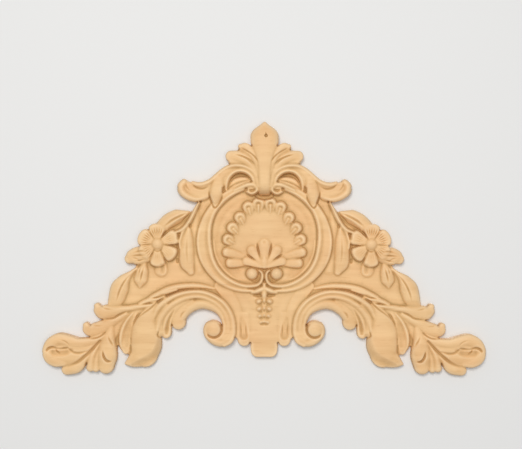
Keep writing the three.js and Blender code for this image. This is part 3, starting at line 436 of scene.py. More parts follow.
def foot():
    """Under the ring: the waisted middle with its tongue, and a lobe on each side."""
    ridge([[46, -38], [36, -48], [29.5, -61], [27, -75], [25, -86]],
          [4, 6.4, 6.6, 6, 5], [5, 5.3, 5.5, 5.6, 5.6], 5)
    ridge([[20.5, -64], [20, -78], [19.9, -91.4]],
          [5, 6.4, 6.6], [5.2, 5.4, 5.6], 4.9, fullness=3, ends="end")
    plate(mirrored([[0, -43], [16, -44], [28, -42], [38, -43.5], [34, -52], [29, -62], [26, -74],
                    [24, -86], [20, -93], [14, -93], [13, -101], [0, -102]]), FOOT)
    ridge([[0, -45], [0, -57], [0, -70], [0, -84], [0, -97], [0, -104]],
          [24, 20, 17, 15, 13.3, 12.4], [4.9, 5.1, 5.3, 5.4, 5.4, 5.35], [4.7, 4.7, 4.8, 4.9, 5.2, 5.2],
          ends="none")
    plate(mirrored([[0, -84], [13.2, -84], [13.3, -92], [13.3, -100], [12.6, -105], [9.4, -108.4],
                    [0, -108.8]]), TONGUE)


def foot_hollow():
    """The wide shallow channel down each lobe beside the tongue."""
    groove([[22.2, -70], [21.2, -79], [20.3, -87.4]], [2.4, 4.1, 4.6], [5.1, 4.8, 4.5], 5.8)


def husks():
    """The two leaves under the ring, and the pairs of husks that hang below them down the middle."""
    ridge([[0, -36], [0, -46], [0, -53], [0, -64], [0, -78]],
          [2, 3, 1.8, 1.4, 1], [6.8, 6.7, 5.6, 5.4, 5.2], 5)
    ridge([[1.5, -40.6], [7, -42.8], [12.4, -44.6]], [3, 2.8, 1.2], [7.2, 7.1, 6.2], 4.8)
    groove([[3.8, -47.6], [6, -47.6], [10.4, -47.4]], [1.3, 1.7, 1], [3.6, 3.4, 4.2], 5.2)
    # Each pair's height on the axis, reach, half length, half width and crest
    chain = ((-53, 5.2, 3.1, 2.4, 6.8), (-60.4, 4.9, 2.8, 2.2, 6.5), (-67.4, 4.3, 2.4, 1.8, 6.3),
             (-73.6, 3.4, 2, 1.5, 6.1))
    for v, u, long, wide, crest in chain:
        ridge([[2.8, v + 0.8], [u - 0.6, v + 0.2], [u + long - wide, v - 0.4]],
              [0.9, wide, wide], crest, 4.9)
        groove([[u - 2, v - wide - 1], [u + 0.8, v - wide - 1.2]], [1.3, 0.8], [4.5, 4.8], 5.6)
        bead([0, v + 0.4], 1.7, crest, 5)
        incise([[-0.1, v - wide - 0.4], [0.1, v - wide - 0.4]], 1.5, 1.2)


def crown():
    """The crown: a pointed bulb on a stem, with two lobes on each side."""
    ridge([[5, 72], [8, 86], [13, 96], [19, 100.9], [23.6, 101.2]],
          [2.5, 3.5, 4, 3.9, 3], [8.4, 8, 7.4, 6.8, 6.2], [7.6, 7, 6.4, 5.9, 5.2], fullness=1.8)
    ridge([[5, 62], [9, 76], [17, 86.5], [26, 91.6], [33.4, 91.6]],
          [3, 4.2, 4.8, 5.2, 5.6], [8.6, 8, 7.4, 6.8, 6.2], [7.8, 7, 6.4, 5.9, 5.2], fullness=1.8)
    ridge([[10, 68], [18, 78], [27, 83.6], [33, 86.6]],
          [3, 4, 4, 3], [7.6, 7.2, 6.8, 6.2], [7, 6.4, 5.8, 5.2], fullness=1.8)
    ridge([[8, 80], [13, 90], [19, 95.4], [24, 96.4]],
          [3, 3.2, 3, 2], [7, 6.7, 6.2, 5.6], [6.8, 6.5, 6, 5.4])
    ridge([[0, 58], [0, 62], [0, 66], [0, 74], [0, 84], [0, 93], [0, 102], [0, 108], [0, 112], [0, 116],
           [0, 118.7], [0, 123], [0, 126.5]],
          [6.8, 6.6, 6.2, 5.8, 6.4, 8.8, 12.8, 14.1, 14.1, 12.6, 10.2, 4.3, 0.3],
          [8.4, 9.3, 9.6, 9.2, 8.8, 8.5, 8, 7.8, 7.6, 7.3, 7, 6.2, 5.4],
          [6, 7, 7.6, 8.2, 8.2, 7.5, 5.4, 4.8, 4.6, 4.6, 4.6, 4.6, 4.8], fullness=2.4, ends="end")


def arch():
    """The arch beside the stem: its outer band, the crescent hollow, two ridges and the sill."""
    ridge([[34, 79], [41, 74], [45.5, 66], [47.5, 57]], [3.4, 4.6, 4.8, 4.2], [6.6, 6.8, 6.6, 6.4], 5.4)
    ridge([[36, 78], [40.5, 72], [43, 66], [43.6, 61.5]], [3, 4.4, 5, 3], [6.5, 6.5, 6.4, 6.2], 5.6)
    pocket([[13.6, 68], [15, 72], [20, 74.8], [26, 74.8], [31.6, 72], [35, 66.5], [35.6, 62], [30, 65.4],
            [24, 67], [18, 67.2]], PANEL)
    groove([[34, 66.5], [30.5, 71], [25, 73.2], [19.5, 72.4], [15.6, 69.4]],
           [1.4, 2.2, 2.5, 2.2, 1.4], [3.4, 2.6, 2.4, 2.6, 3.4], 4)
    ridge([[15, 68.4], [22, 68.6], [29, 66.6], [34.4, 62.4]], [1.6, 2.8, 3, 1.6], [5.4, 5.2, 5, 4.6], 3.6)
    ridge([[7.3, 57], [7.3, 68], [11.3, 76], [18.3, 80.5], [26.3, 82.2], [34.3, 81.3], [41.4, 77.4],
           [47.2, 72.6], [52.6, 68], [59.3, 64]],
          [1.8, 2.4, 2.4, 2.3, 2.2, 2.2, 2.3, 2.3, 2.2, 2], [8.2, 8.2, 8, 8, 7.8, 7.4, 7, 6.8, 6.6, 6.2],
          [7.2, 6.8, 6.4, 6, 5.8, 5.6, 5.4, 5.4, 5.4, 5.2])
    ridge([[9.3, 61], [11.8, 70], [17.3, 75.3], [24.3, 77.2], [30.6, 75.6], [35.6, 71], [38, 65],
           [38.3, 58]],
          [2, 2.2, 2.1, 2.1, 2.2, 2.3, 2.1, 1.2], [7.8, 7.8, 7.6, 7.4, 7.2, 6.8, 6.4, 5.4],
          [6.6, 6.2, 6, 5.8, 5.6, 5.6, 5.4, 5])
    ridge([[15, 66.8], [22, 64.6], [30, 61.4], [36.4, 57]],
          [1.4, 1.7, 1.7, 1.2], [6.4, 6.2, 5.8, 5.4], 4.8)
    ridge([[22, 79.8], [30, 79], [36, 75.4], [40, 70]], [1.8, 2.4, 2.8, 2.8], 6.5, 6.3)


def eye_scrolls():
    """The dark throat below the stem, the stem's rounded foot, and the small scroll on each side."""
    pocket(mirrored([[0, 48.2], [7, 49.6], [9.4, 52], [8.8, 56.5], [7, 60], [0, 61]]), THROAT)
    ridge([[0, 52.4], [0, 55], [0, 58], [0, 62], [0, 66]],
          [4.8, 6.2, 6.8, 6.6, 6.2], [3.4, 6.2, 8.2, 9.3, 9.6], [2.4, 3.6, 5.6, 7, 7.2], fullness=2.4,
          ends="none")
    ridge([[30, 57.4], [23, 60.6], [16, 63], [10.6, 63], [7.2, 59.8], [8.4, 56.2], [13, 54.4],
           [17.6, 56.2]],
          [1.8, 2.2, 2.5, 2.5, 1.8, 1.7, 1.6, 1.2], [6.8, 7.2, 7.8, 8, 8, 7.8, 7.4, 6.8],
          [5.4, 5.8, 6.2, 6.4, 6.4, 6, 5.6, 5.2])
    bead([12.8, 58.8], 4.6, 7, 5.8)
    groove([[10.8, 57.8], [13, 57.2], [15.2, 57.8]], [1, 1.5, 1], [5.8, 5.5, 5.8], 7.4)


def wing():
    """The wing that sweeps out from the arch and turns up at its end."""
    ridge([[54, 61.6], [63, 56], [72, 55.9], [79, 58.9]],
          [6, 9, 9, 8.2], [6.2, 6, 5.9, 6.1], [5.2, 4.8, 4.6, 4.6], fullness=2.6)
    ridge([[60, 50.4], [67, 48.9], [75.5, 51], [81.6, 55.8], [83, 61.4], [80.2, 65.6]],
          [2, 3, 3.4, 3.8, 4, 3.4], [6, 6.4, 6.8, 7, 6.9, 6.6], [5, 5, 5, 5, 5, 4.8])
    ridge([[50, 69.4], [57, 65], [63, 63.2], [68.5, 63.6], [71.6, 65]],
          [1.6, 2.6, 2.6, 2.5, 1.8], [7, 7, 6.8, 6.6, 6.2], 5.2)


def drop_leaf():
    """The narrow leaf that hangs where arch, wing and ring meet."""
    ridge([[45.6, 68], [47.4, 59.4], [48.4, 53.7], [48.8, 48], [49.2, 41.4]],
          [4.4, 6.4, 6.2, 4.7, 0.3], [7, 7.3, 7.3, 7, 5.8], [6.2, 5.6, 5.3, 5.2, 5.2], fullness=2.4)


def stem_and_drooping_leaf():
    """The forked stem from the wing to the flower, and the long leaf that droops beside the ring."""
    # A soft swell between the ring and the drooping leaf
    incise([[68, 36], [69.6, 16], [69.4, -4], [65, -22]], [4, 7, 8, 6], -1.1)
    ridge([[75.6, 20], [77, 8], [77.6, -5], [77, -15], [73.4, -24]],
          [1.8, 6, 7.4, 7.2, 3.4], [5.8, 6.4, 6.5, 6.3, 5.5], 4.7, fullness=2.2)
    ridge([[65.3, 45], [69, 38], [73.4, 29], [78.3, 21.6], [83, 17.6], [89, 15.4]],
          [1.2, 2, 2.3, 2.3, 2, 1.5], 6.9, 4.8)
    ridge([[79, 20], [82.6, 13], [84.4, 5], [84.6, -1]], [1.6, 1.8, 1.6, 0.8], 6.4, 4.8)


def leaves_round_flower():
    """Leaves round the flower: above it, beyond it, the long one below and two small ones."""
    ridge([[74.6, 36.2], [80, 34.4], [87, 31.4], [95, 27.2], [103, 20.6]],
          [0.8, 3.4, 7.2, 7.5, 6.4], [5.4, 6, 6.6, 6.8, 6.8], 4.6)
    ridge([[118, -7], [126, -8], [132.6, -9.8], [135.8, -11.6]],
          [8, 9.1, 7.4, 4.6], [6.8, 6.6, 6.2, 5.8], 4.6, cap=0.8)
    ridge([[127, -19.9], [134, -25.8], [140, -32], [144.6, -40.6], [147.2, -49], [149.8, -56.5]],
          [0.8, 2.5, 5.9, 9, 8.4, 6.8], [5, 5.4, 6.2, 6.6, 6.4, 5.6], 4.4, lean=0.1)
    ridge([[120, -16.5], [122, -24], [123.6, -32], [124.4, -39.6]],
          [2.6, 6, 6.6, 1], [5.4, 6, 6, 4.9], 4.5)
    ridge([[103.4, -17], [103, -22.6]], [6, 6.4], [5.5, 5.3], 4.4)


def from_heart(degrees, reaches):
    """Points out from the middle of the flower in one direction."""
    turn = math.radians(degrees)
    return [[HEART[0] + math.cos(turn) * out, HEART[1] + math.sin(turn) * out] for out in reaches]


def flower():
    """The flower: six petals round a low button."""
    # Each petal's direction in degrees, its length and its half width near the tip
    petals = (
        (157, 22, 7.8), (217, 22, 8), (270, 23, 7.6), (328, 20.6, 7.8), (25, 20.8, 8.9), (88, 20.6, 8.6)
    )
    for degrees, length, wide in petals:
        ridge(from_heart(degrees, (3, length * 0.5, length - wide * 0.62)),
              [2.6, wide * 0.74, wide], [6.8, 7.1, 7.2], 6, fullness=3, cap=0.62)
    bead(HEART, 5.6, 8.2, 6.6)
    bead([114, 15], 3.4, 6.4, 5.6)


def arch_scroll():
    """The four long leaflets that lie over the lower arch, one behind the other."""
    ridge([[50, -40.6], [60, -38.6], [70, -37.8], [84, -38.6], [96, -41.4], [106, -46.4], [116, -52.6],
           [124, -56.6]],
          [1, 2.2, 2.8, 2.9, 3, 3, 2.8, 2.2], [4.8, 5.6, 6, 6.2, 6.4, 6.4, 6.2, 6], 4.6)
    ridge([[88, -41.4], [98, -44], [107, -46.2], [114.6, -48.4]],
          [2.2, 2.8, 2.2, 0.6], [6.2, 6.5, 6.3, 5.2], 4.8)
    ridge([[99, -48.8], [107, -51], [117, -53], [126, -55.6]],
          [1.4, 2.2, 2.4, 0.6], [6.2, 6.5, 6.3, 5.2], 4.8)
    ridge([[109, -56], [117, -57.8], [128, -59], [138, -59.6]],
          [1.4, 2.2, 2.6, 1.6], [6.2, 6.5, 6.3, 5.6], 4.8)


def big_leaf():
    """The big turned leaf with its beak, and the hollow leaf beside it."""
    ridge([[110, -56], [116, -69], [118.4, -82], [118, -97], [119.6, -106]],
          [4, 8.6, 14, 15.4, 13.6], [6, 7, 7.4, 7.2, 6.8], [4.6, 4.4, 4.2, 4.2, 4.2], fullness=2.6)
    ridge([[120, -106], [127, -110.6], [133, -113.8], [138.8, -116]],
          [12, 9.6, 6, 1], [6.6, 6.4, 5.9, 5], 4.2, fullness=2.4, ends="end")
    ridge([[128, -66], [134, -74], [138, -85], [139.2, -95], [138, -102.6]],
          [1.4, 3.6, 5.4, 5.8, 3.8], [5.5, 5.5, 5.4, 5.3, 5], [5.4, 5.4, 5.3, 5.2, 4.9])
    ridge([[131, -65], [137.4, -73], [141.6, -82], [143.2, -91], [142.8, -99]],
          [1.2, 1.9, 2.3, 2.3, 1.4], [6, 6.4, 6.4, 6.2, 5.4], 4.6)


def arch_lobes():
    """Two lobes that hang under the lower arch, and the big leaf's flap beside them."""
    ridge([[72, -54], [81, -61.6], [85.4, -68.6], [85.5, -74.6]],
          [3.5, 5.4, 7, 7.2], [6, 6.2, 6.2, 6], 4.6)
    ridge([[76, -52], [89, -60], [96.2, -70], [98, -85.2]], [3, 4, 4.6, 5.2], [6, 6.2, 6.2, 5.8], 5.2)
    ridge([[97, -58], [103, -68], [105.6, -77], [104.6, -84]],
          [3, 4.2, 5, 5.4], [6.6, 6.7, 6.6, 6.2], 5.2)


def reeds():
    """Three reeds that run round the lower arch."""
    ridge([[39.6, -96], [34, -92.4], [31.2, -85], [31.4, -74], [34.8, -63], [42, -53.6], [52, -47.3],
           [64, -43.9], [76, -44.3], [88, -47.6], [98, -53], [106, -60], [111, -70]],
          [2.6, 2.8, 2.8, 2.8, 2.6, 2.5, 2.4, 2.4, 2.4, 2.6, 3, 3, 2],
          [6.8, 7, 7, 7, 7, 7, 7, 7, 7, 7, 7, 6.9, 6.6],
          [6.2, 6.4, 6.4, 6.2, 5.8, 5.4, 5.4, 5.6, 5.6, 5.6, 5.6, 5.8, 6.2])
    ridge([[41, -90], [37, -86.4], [35.6, -77], [38.4, -66.4], [45, -57.4], [54, -51.4], [64, -48.4],
           [75, -48.8], [86, -52.8], [96, -60], [103.6, -70], [106.6, -82]],
          [2, 2.4, 2.6, 2.6, 2.6, 2.6, 2.6, 2.8, 3, 3.2, 3.4, 2], 6.9,
          [6.4, 6.4, 6.4, 6.2, 6, 5.6, 5.6, 5.6, 5.6, 5.8, 6, 6])
    ridge([[39.6, -80], [40.4, -71.4], [45.2, -62.6], [53, -57.6], [61.3, -55.6], [70, -57.4], [78, -63],
           [83, -71]],
          [1.8, 2.6, 3.8, 4.8, 5.4, 5.4, 5, 4], [6, 6.6, 6.8, 6.8, 6.8, 6.6, 6.4, 6.2],
          [5.8, 5.2, 4.8, 4.6, 4.4, 4.4, 4.4, 4.6])


def volute():
    """The volute that ends the reeds, filled up to its knob."""
    ridge([[33, -84], [36.6, -91], [43.4, -94.3], [51, -91.6], [56.2, -85], [55.8, -78.4], [50.8, -75.6]],
          [3, 4.2, 4.3, 4.2, 4.3, 4, 3.6], [7, 7, 6.9, 6.8, 6.8, 7, 7.4], 5)
    ridge([[38.6, -76], [39.4, -83], [43, -88.4], [48.6, -89.4], [53, -87]],
          [2.6, 4, 4.4, 3.6, 2], [6.6, 6.8, 6.8, 6.5, 6.2], 5.6)
    bead([50.2, -80.8], 8.5, 8, 5.6)


def acanthus_end():
    """The acanthus end: two hooked lobes, the curled scroll, and the folds under it."""
    ridge([[116, -60], [126, -63], [134, -67], [142, -73], [150, -82], [158, -94], [170, -104]],
          [3, 3.4, 3.8, 4.4, 6.4, 6.4, 4], 5.4, 4.4)
    ridge([[120, -59.4], [139, -61], [152, -63.5], [160, -64.5], [165.2, -62], [167, -58.4]],
          [1.6, 3.6, 6.4, 7.4, 5.6, 3.2], [5.8, 6.4, 6.6, 6.6, 6.3, 5.8], 4.8)
    ridge([[138, -66], [152, -73.8], [162, -79.5], [171, -82.4], [176.2, -81], [178, -77.6]],
          [2.6, 5.2, 6.8, 6.8, 5.6, 3.2], [6, 6.4, 6.4, 6.4, 6.1, 5.6], 4.8)
    ridge([[160, -90], [174, -97], [189, -102.4], [203, -103.4]],
          [3, 7.6, 13, 16], [5.8, 6.2, 6.4, 6.2], [4.8, 4.8, 4.6, 4.4], fullness=3, cap=1.1)
    ridge([[160, -87.6], [172, -93], [184, -95], [194, -93.4], [204.6, -91.6], [212.4, -95.4],
           [216, -102.4], [214.6, -109.6], [208.6, -114], [200, -115]],
          [2.4, 4, 4.6, 5.6, 6, 5.6, 5.2, 5.2, 4.8, 3.4], [6.4, 6.7, 6.8, 6.9, 7, 7, 6.8, 6.7, 6.5, 6.2],
          5.6)
    ridge([[172, -103], [180, -112], [188, -119], [197, -121.8]],
          [1.8, 4, 6.6, 5.6], [5.8, 6, 6, 5.6], 4.4)
    ridge([[167, -98], [172, -109], [173.6, -119.8]], [2.2, 3.6, 4.2], [6, 6.2, 6], 4.4)
    ridge([[164.5, -102], [167.4, -112], [168, -120.8]], [2, 3.2, 3.6], [5.8, 6, 5.8], 4.4)
    ridge([[153, -80], [156, -94], [156.8, -108], [158, -117.8]],
          [4, 7.6, 9.8, 8.2], [6.2, 7, 7, 6.2], 4.4, fullness=2.2)
    groove([[163, -92], [171, -101], [178, -107.6], [186, -114], [196, -118.4]],
           [0.8, 1.8, 1.8, 1.6, 1], [5, 4.8, 4.8, 5, 5.2], 6.8)
    groove([[217, -103], [215, -100.6], [211, -99.4], [205, -101], [199, -100.4], [195.6, -99.8]],
           [0.8, 1.2, 1.4, 1.2, 1.4, 1], [5.6, 5.2, 5.2, 5.4, 5, 5.4], 7.2)
    groove([[172, -102.4], [178, -103.8], [185, -105], [190, -104.2], [195, -100.6]],
           [0.6, 1, 1.3, 1.2, 0.8], [5.8, 5.6, 5.5, 5.5, 5.7], 7)


def vein(points, wide, deep):
    """A fine cut that fades out at both ends."""
    if len(points) == 2:
        points = [points[0], [(a + b) / 2 for a, b in zip(*points)], points[1]]
    inner = len(points) - 2
    incise(points, [0.5 * wide] + [wide] * inner + [0.5 * wide], [0.0] + [deep] * inner + [0.0])


def shell_lines():
    vein([[38, 15], [29, 12]], 1.3, 1.0)
    vein([[40, 3], [34, 1.5]], 1.2, 0.8)
    vein([[38, -10.4], [30, -10.6]], 0.9, 0.6)
    vein([[7.4, 6], [6.4, -1], [4, -11]], 1.4, 1.9)
    vein([[18.6, -5.8], [14, -8.8], [8, -12.6]], 1.4, 1.8)
    vein([[22, -16.8], [15, -18.6], [8, -20]], 1.3, 1.3)
    vein([[7.4, -23.6], [4.4, -26], [4.2, -29.4]], 1.0, 0.9)
    vein([[16, -31.6], [10, -33.6], [5, -31.8]], 1.0, 0.9)
    incise([[-0.1, 6.4], [0.1, 6.4]], 2.6, 0.5)


def crown_lines():
    vein([[24.6, 100.6], [17, 96.4], [10, 91], [6, 85]], 1.0, 1.0)
    vein([[30.6, 93.6], [22, 91.4], [16, 88], [11, 82.6]], 1.1, 1.2)
    vein([[20.4, 91.8], [14, 87.6], [9, 82]], 1.0, 1.0)
    vein([[0, 104], [0, 112], [0, 120]], 1.2, -0.2)


def wing_lines():
    vein([[55, 61.6], [62, 59], [68, 60.2], [72, 63.4]], 1.3, 0.9)
    vein([[78.6, 67], [77.6, 61], [73, 56]], 1.0, 0.5)
    vein([[31, 52], [25, 54.4], [21, 56.6]], 1.0, 0.8)
    incise([[41.6, 59.6], [41.4, 56.6]], 1.6, 1.4)
    vein([[55.6, 58], [54.6, 50.4], [49.4, 40], [43.4, 47.4], [41.6, 54]], 1.1, 1.3)


def leaf_lines():
    vein([[76, 35], [84, 31.6], [92, 27.4], [100, 20.6]], 1.6, 1.1)
    incise([[76, 31.6], [84.4, 25.6], [94, 18.8]], [1.4, 3.6, 3], [0.6, 1.5, 1.0])
    for fold in ([[117, -3.4], [124, -3.2], [132, -4.6]], [[117, -7.7], [126, -7.4], [134.6, -8.8]],
                 [[118.7, -11.3], [124, -12.6], [129, -13.6]]):
        vein(fold, 1.1, 0.9)
    vein([[122.6, -14.8], [128, -10.6], [133, -10]], 1.0, 0.6)
    vein([[119.6, -18], [122.4, -27], [124.2, -36]], 1.0, 1.0)
    vein([[123.6, -19], [126, -27]], 1.0, 0.8)
    vein([[134, -27.4], [140, -34.6], [144.6, -44], [147.6, -55]], 1.1, 0.9)
    vein([[77, 14], [77.4, -4], [76, -18]], 1.4, 0.5)
    for u, v in ((74.4, 22), (86, 10.6), (86.6, 1.6), (87, -13)):
        incise([[u, v - 1.2], [u, v + 1.2]], 1.9, 1.2)
    incise([[101.6, -18], [101.6, -24]], 3.4, 0.8)


def petal_lines():
    for degrees, deep in ((157, 0.5), (217, 0.25), (270, 0.25), (328, 0.7), (25, 0.9), (88, 0.9)):
        for aside in (-20, -10, 0, 10, 20):
            vein(from_heart(degrees + aside, (6, 12, 17)), 0.8, deep)
    for between in (187, 244, 299, 356, 56, 122):
        vein(from_heart(between, (5.6, 10, 17)), 1.2, 1.0)
    vein([[100.8, 2], [103, -2.4], [107, -3.4], [111.4, -1.4]], 0.9, 0.7)


def arch_scroll_lines():
    vein([[100, -48], [107, -49.4], [113.6, -50.4]], 1.0, 1.2)
    vein([[108, -55], [116, -55.6], [124, -56.6]], 1.0, 1.2)
    channel = [
        [56, -41.6], [70, -41.4], [84, -42.8], [96, -47], [106, -53.4], [113, -60], [121, -65.6], [127, -71]
    ]
    vein(channel, 1.1, 0.9)


def acanthus_lines():
    vein([[160, -71.4], [150, -70], [144, -66.4], [136, -63]], 1.2, 1.2)
    vein([[178, -89.8], [168, -90], [162, -87.4], [157, -83]], 1.2, 1.2)
    vein([[156, -87], [152.4, -94], [149, -99]], 1.2, 1.0)
    vein([[161, -102], [159.6, -108.6], [156.6, -112.6], [151.4, -113.4]], 1.8, 2.2)
    incise([[213, -103], [207, -105], [199, -104.6], [192, -102]], [3, 4.4, 4.4, 3], [0.6, 1.7, 1.7, 0.6])
    vein([[208, -100], [206.6, -103.6], [203, -106]], 1.3, 1.1)
    vein([[205, -91], [197.4, -93.6], [193, -98.4]], 1.0, 0.6)
    vein([[150, -61.6], [157, -60.6], [163, -57.6]], 1.0, 0.6)
    vein([[160, -77.6], [168, -77.4], [174, -74]], 1.0, 0.6)


def big_leaf_lines():
    incise([[131, -70], [135, -78], [137, -88], [137, -98]], [2, 3.6, 4, 3], [0.3, 0.7, 0.8, 0.5])
    vein([[104.6, -82], [106, -87.6], [102, -91]], 1.2, 1.2)
    turned = [[102.6, -88], [102.6, -98], [106.6, -108], [117, -114.8], [130, -117.6]]
    incise(turned, [4, 7, 8, 8, 4], [0.6, 1.5, 2, 2.2, 0.8])


def volute_lines():
    """The line that winds round the inner side of the knob."""
    arc = [math.radians(degrees) for degrees in (120, 150, 180, 210, 240, 270, 300, 330)]
    vein([[50.4 + 8 * math.cos(turn), -81.2 + 8 * math.sin(turn)] for turn in arc], 1.6, 1.9)


def lobe_lines():
    incise([[90, -62], [95, -72], [97, -81], [97.4, -85]], [1.2, 2.2, 3, 2.4], [0.3, 1.4, 1.9, 1.1])
    vein([[77.6, -62], [82, -66], [84, -71]], 1.4, 0.6)


def foot_lines():
    vein([[23.4, -74], [22.6, -89]], 0.9, 0.6)
    vein([[18.6, -74], [18.2, -89]], 0.9, 0.6)
    vein([[17, -50], [13, -60], [13, -74]], 5, 0.35)


# In drawing order: a raised form shows where it is higher than what is there, a hollow where it is
# deeper
FORMS = (
    ground_plates, panel, ring, ring_floor, inner_reed, shell, palmette, foot, foot_hollow, husks, crown,
    arch, eye_scrolls, wing, drop_leaf, stem_and_drooping_leaf, leaves_round_flower, flower, arch_scroll,
    big_leaf, arch_lobes, reeds, volute, acanthus_end
)
FINE_LINES = (
    shell_lines, crown_lines, wing_lines, leaf_lines, petal_lines, arch_scroll_lines, acanthus_lines,
    big_leaf_lines, volute_lines, lobe_lines, foot_lines
)


def soften(sigma):
    """Blurs the heights where there is wood, and carries them a little past the outline."""
    there = (inside > 0).astype(float)
    height[:] = soft(height * there, sigma) / np.maximum(soft(there, sigma), 1e-4)


def hand_finish():
    """The slight unevenness that scrapers and sanding leave."""
    chance = np.random.default_rng(5)
    # How many squares it is blurred over, and its rise in millimetres
    for sigma, rise in ((1.3, 0.010), (4.0, 0.045)):
        rough = soft(chance.standard_normal(height.shape), sigma)
        height[:] += rise * rough / rough.std()


def round_edge():
    """Rounds the outer edge over, as sanding does."""
    q = np.clip(1 - inside * UNIT / EDGE_ROUND, 0, 1)
    height[:] -= EDGE_ROUND * (1 - np.sqrt(1 - q * q))


def front_skin():
    """The carved face and the walls of one half: its points, each with how hollow it lies, and its
    triangles. Cells on the outline are cut along it."""
    rows, columns = height.shape
    number = np.full(height.shape, -1)
    on = inside > 0
    number[on] = np.arange(on.sum())
    U, V = np.meshgrid(ACROSS, ALONG)
    sheet = np.dstack([U, V, height, hollowness()])
    points = [sheet[on]]
    count = int(on.sum())
    rims = []
    for dj, di in ((0, 1), (1, 0)):
        near, far = inside[:rows - dj, :columns - di], inside[dj:, di:]
        crossed = (near > 0) != (far > 0)
        t = (near / np.where(crossed, near - far, 1))[crossed][:, None]
        start, end = sheet[:rows - dj, :columns - di][crossed], sheet[dj:, di:][crossed]
        points.append(start * (1 - t) + end * t)
        rim = np.full(height.shape, -1)
        rim[:rows - dj, :columns - di][crossed] = count + np.arange(crossed.sum())
        count += int(crossed.sum())
        rims.append(rim)
    points = np.vstack(points)
    across, upward = rims

    corner = [number[:-1, :-1], number[:-1, 1:], number[1:, 1:], number[1:, :-1]]
    edge = [across[:-1, :-1], upward[:-1, 1:], across[1:, :-1], upward[:-1, :-1]]
    kind = sum((corner[k] >= 0) * (1 << k) for k in range(4))
    triangles, walls = [], []
    whole = kind == 15
    a, b, c, d = [corner[k][whole] for k in range(4)]
    h = points[:, 2]
    slant = np.abs(h[a] - h[c]) < np.abs(h[b] - h[d])
    for chosen, quad in ((slant, (a, b, c, d)), (~slant, (b, c, d, a))):
        p, q, r, s = [x[chosen] for x in quad]
        triangles += [np.column_stack([p, q, r]), np.column_stack([p, r, s])]
    for case in range(1, 15):
        cells = kind == case
        if not cells.any():
            continue
        loop, exits, entries = [], [], []
        for k in range(4):
            here, there = case >> k & 1, case >> (k + 1) % 4 & 1
            if here:
                loop.append(corner[k][cells])
            if here != there:
                loop.append(edge[k][cells])
                (exits if here else entries).append((len(loop) - 1, edge[k][cells]))
        for k in range(1, len(loop) - 1):
            triangles.append(np.column_stack([loop[0], loop[k], loop[k + 1]]))
        for place, start in exits:
            after = [e for e in entries if e[0] == (place + 1) % len(loop)]
            walls.append(np.column_stack([start, after[0][1]]))
    walls = np.vstack(walls)

    # Each rim point gets a foot on the back, and the wall stands between them
    rim_points = np.unique(walls)
    foot = np.full(len(points), -1)
    foot[rim_points] = len(points) + np.arange(len(rim_points))
    feet = points[rim_points].copy()
    feet[:, 2:] = 0
    start, end = walls[:, 0], walls[:, 1]
    triangles += [np.column_stack([start, foot[start], foot[end]]),
                  np.column_stack([start, foot[end], end])]
    return np.vstack([points, feet]), np.vstack(triangles)


def hollowness():
    """From -1 on sharp crests over 0 on even surfaces to 1 deep between raised forms. The wood's painted
    shade and painted highlight are read from it.
    """
    flat = np.where(inside > 0, height, 2.0)
    found = np.zeros(height.shape)
    # How many squares around are compared, and the share of each
    for sigma, share in ((1.0, 0.6), (2.2, 0.4)):
        found += share * (soft(flat, sigma) - flat) / (0.5 * sigma * UNIT)
    return np.clip(found, -1, 1)


def mesh_from(points, triangles, name):
    """The mesh in metres, with how hollow each point lies kept for the wood's painted shade and painted
    highlight.
    """
    mesh = bpy.data.meshes.new(name)
    xyz = np.column_stack([points[:, 0] * UNIT, -points[:, 2], points[:, 1] * UNIT]) * MM
    mesh.from_pydata(xyz.tolist(), [], triangles.tolist())
    hollow = mesh.attributes.new("hollow", "FLOAT", "POINT")
    hollow.data.foreach_set("value", points[:, 3].astype(np.float32))
    return mesh


def thinned(mesh, most):
    """The same skin with fewer triangles, the flat parts losing the most."""
    helper = bpy.data.objects.new("helper", mesh)
    bpy.context.scene.collection.objects.link(helper)
    fewer = helper.modifiers.new("fewer", "DECIMATE")
    fewer.ratio = min(1.0, most / len(mesh.polygons))
    thin = bpy.data.meshes.new_from_object(helper.evaluated_get(bpy.context.evaluated_depsgraph_get()))
    bpy.data.objects.remove(helper)
    return thin


def whole_from(half):
    """Both halves joined along the centre line, with the flat back closed."""
    solid = bmesh.new()
    solid.from_mesh(half)
    middle = 0.3 * STEP * UNIT * MM
    for vert in solid.verts:
        if vert.is_boundary:
            if abs(vert.co.x) < middle:
                vert.co.x = 0
            if abs(vert.co.y) < middle:
                vert.co.y = 0
    copied = bmesh.ops.duplicate(solid, geom=solid.verts[:] + solid.edges[:] + solid.faces[:])
    for vert in [g for g in copied["geom"] if isinstance(g, bmesh.types.BMVert)]:
        vert.co.x = -vert.co.x
    bmesh.ops.reverse_faces(solid, faces=[g for g in copied["geom"] if isinstance(g, bmesh.types.BMFace)])
    bmesh.ops.remove_doubles(solid, verts=[v for v in solid.verts if v.co.x == 0], dist=1e-7)
    close_back(solid)
    bmesh.ops.recalc_face_normals(solid, faces=solid.faces[:])
    return solid


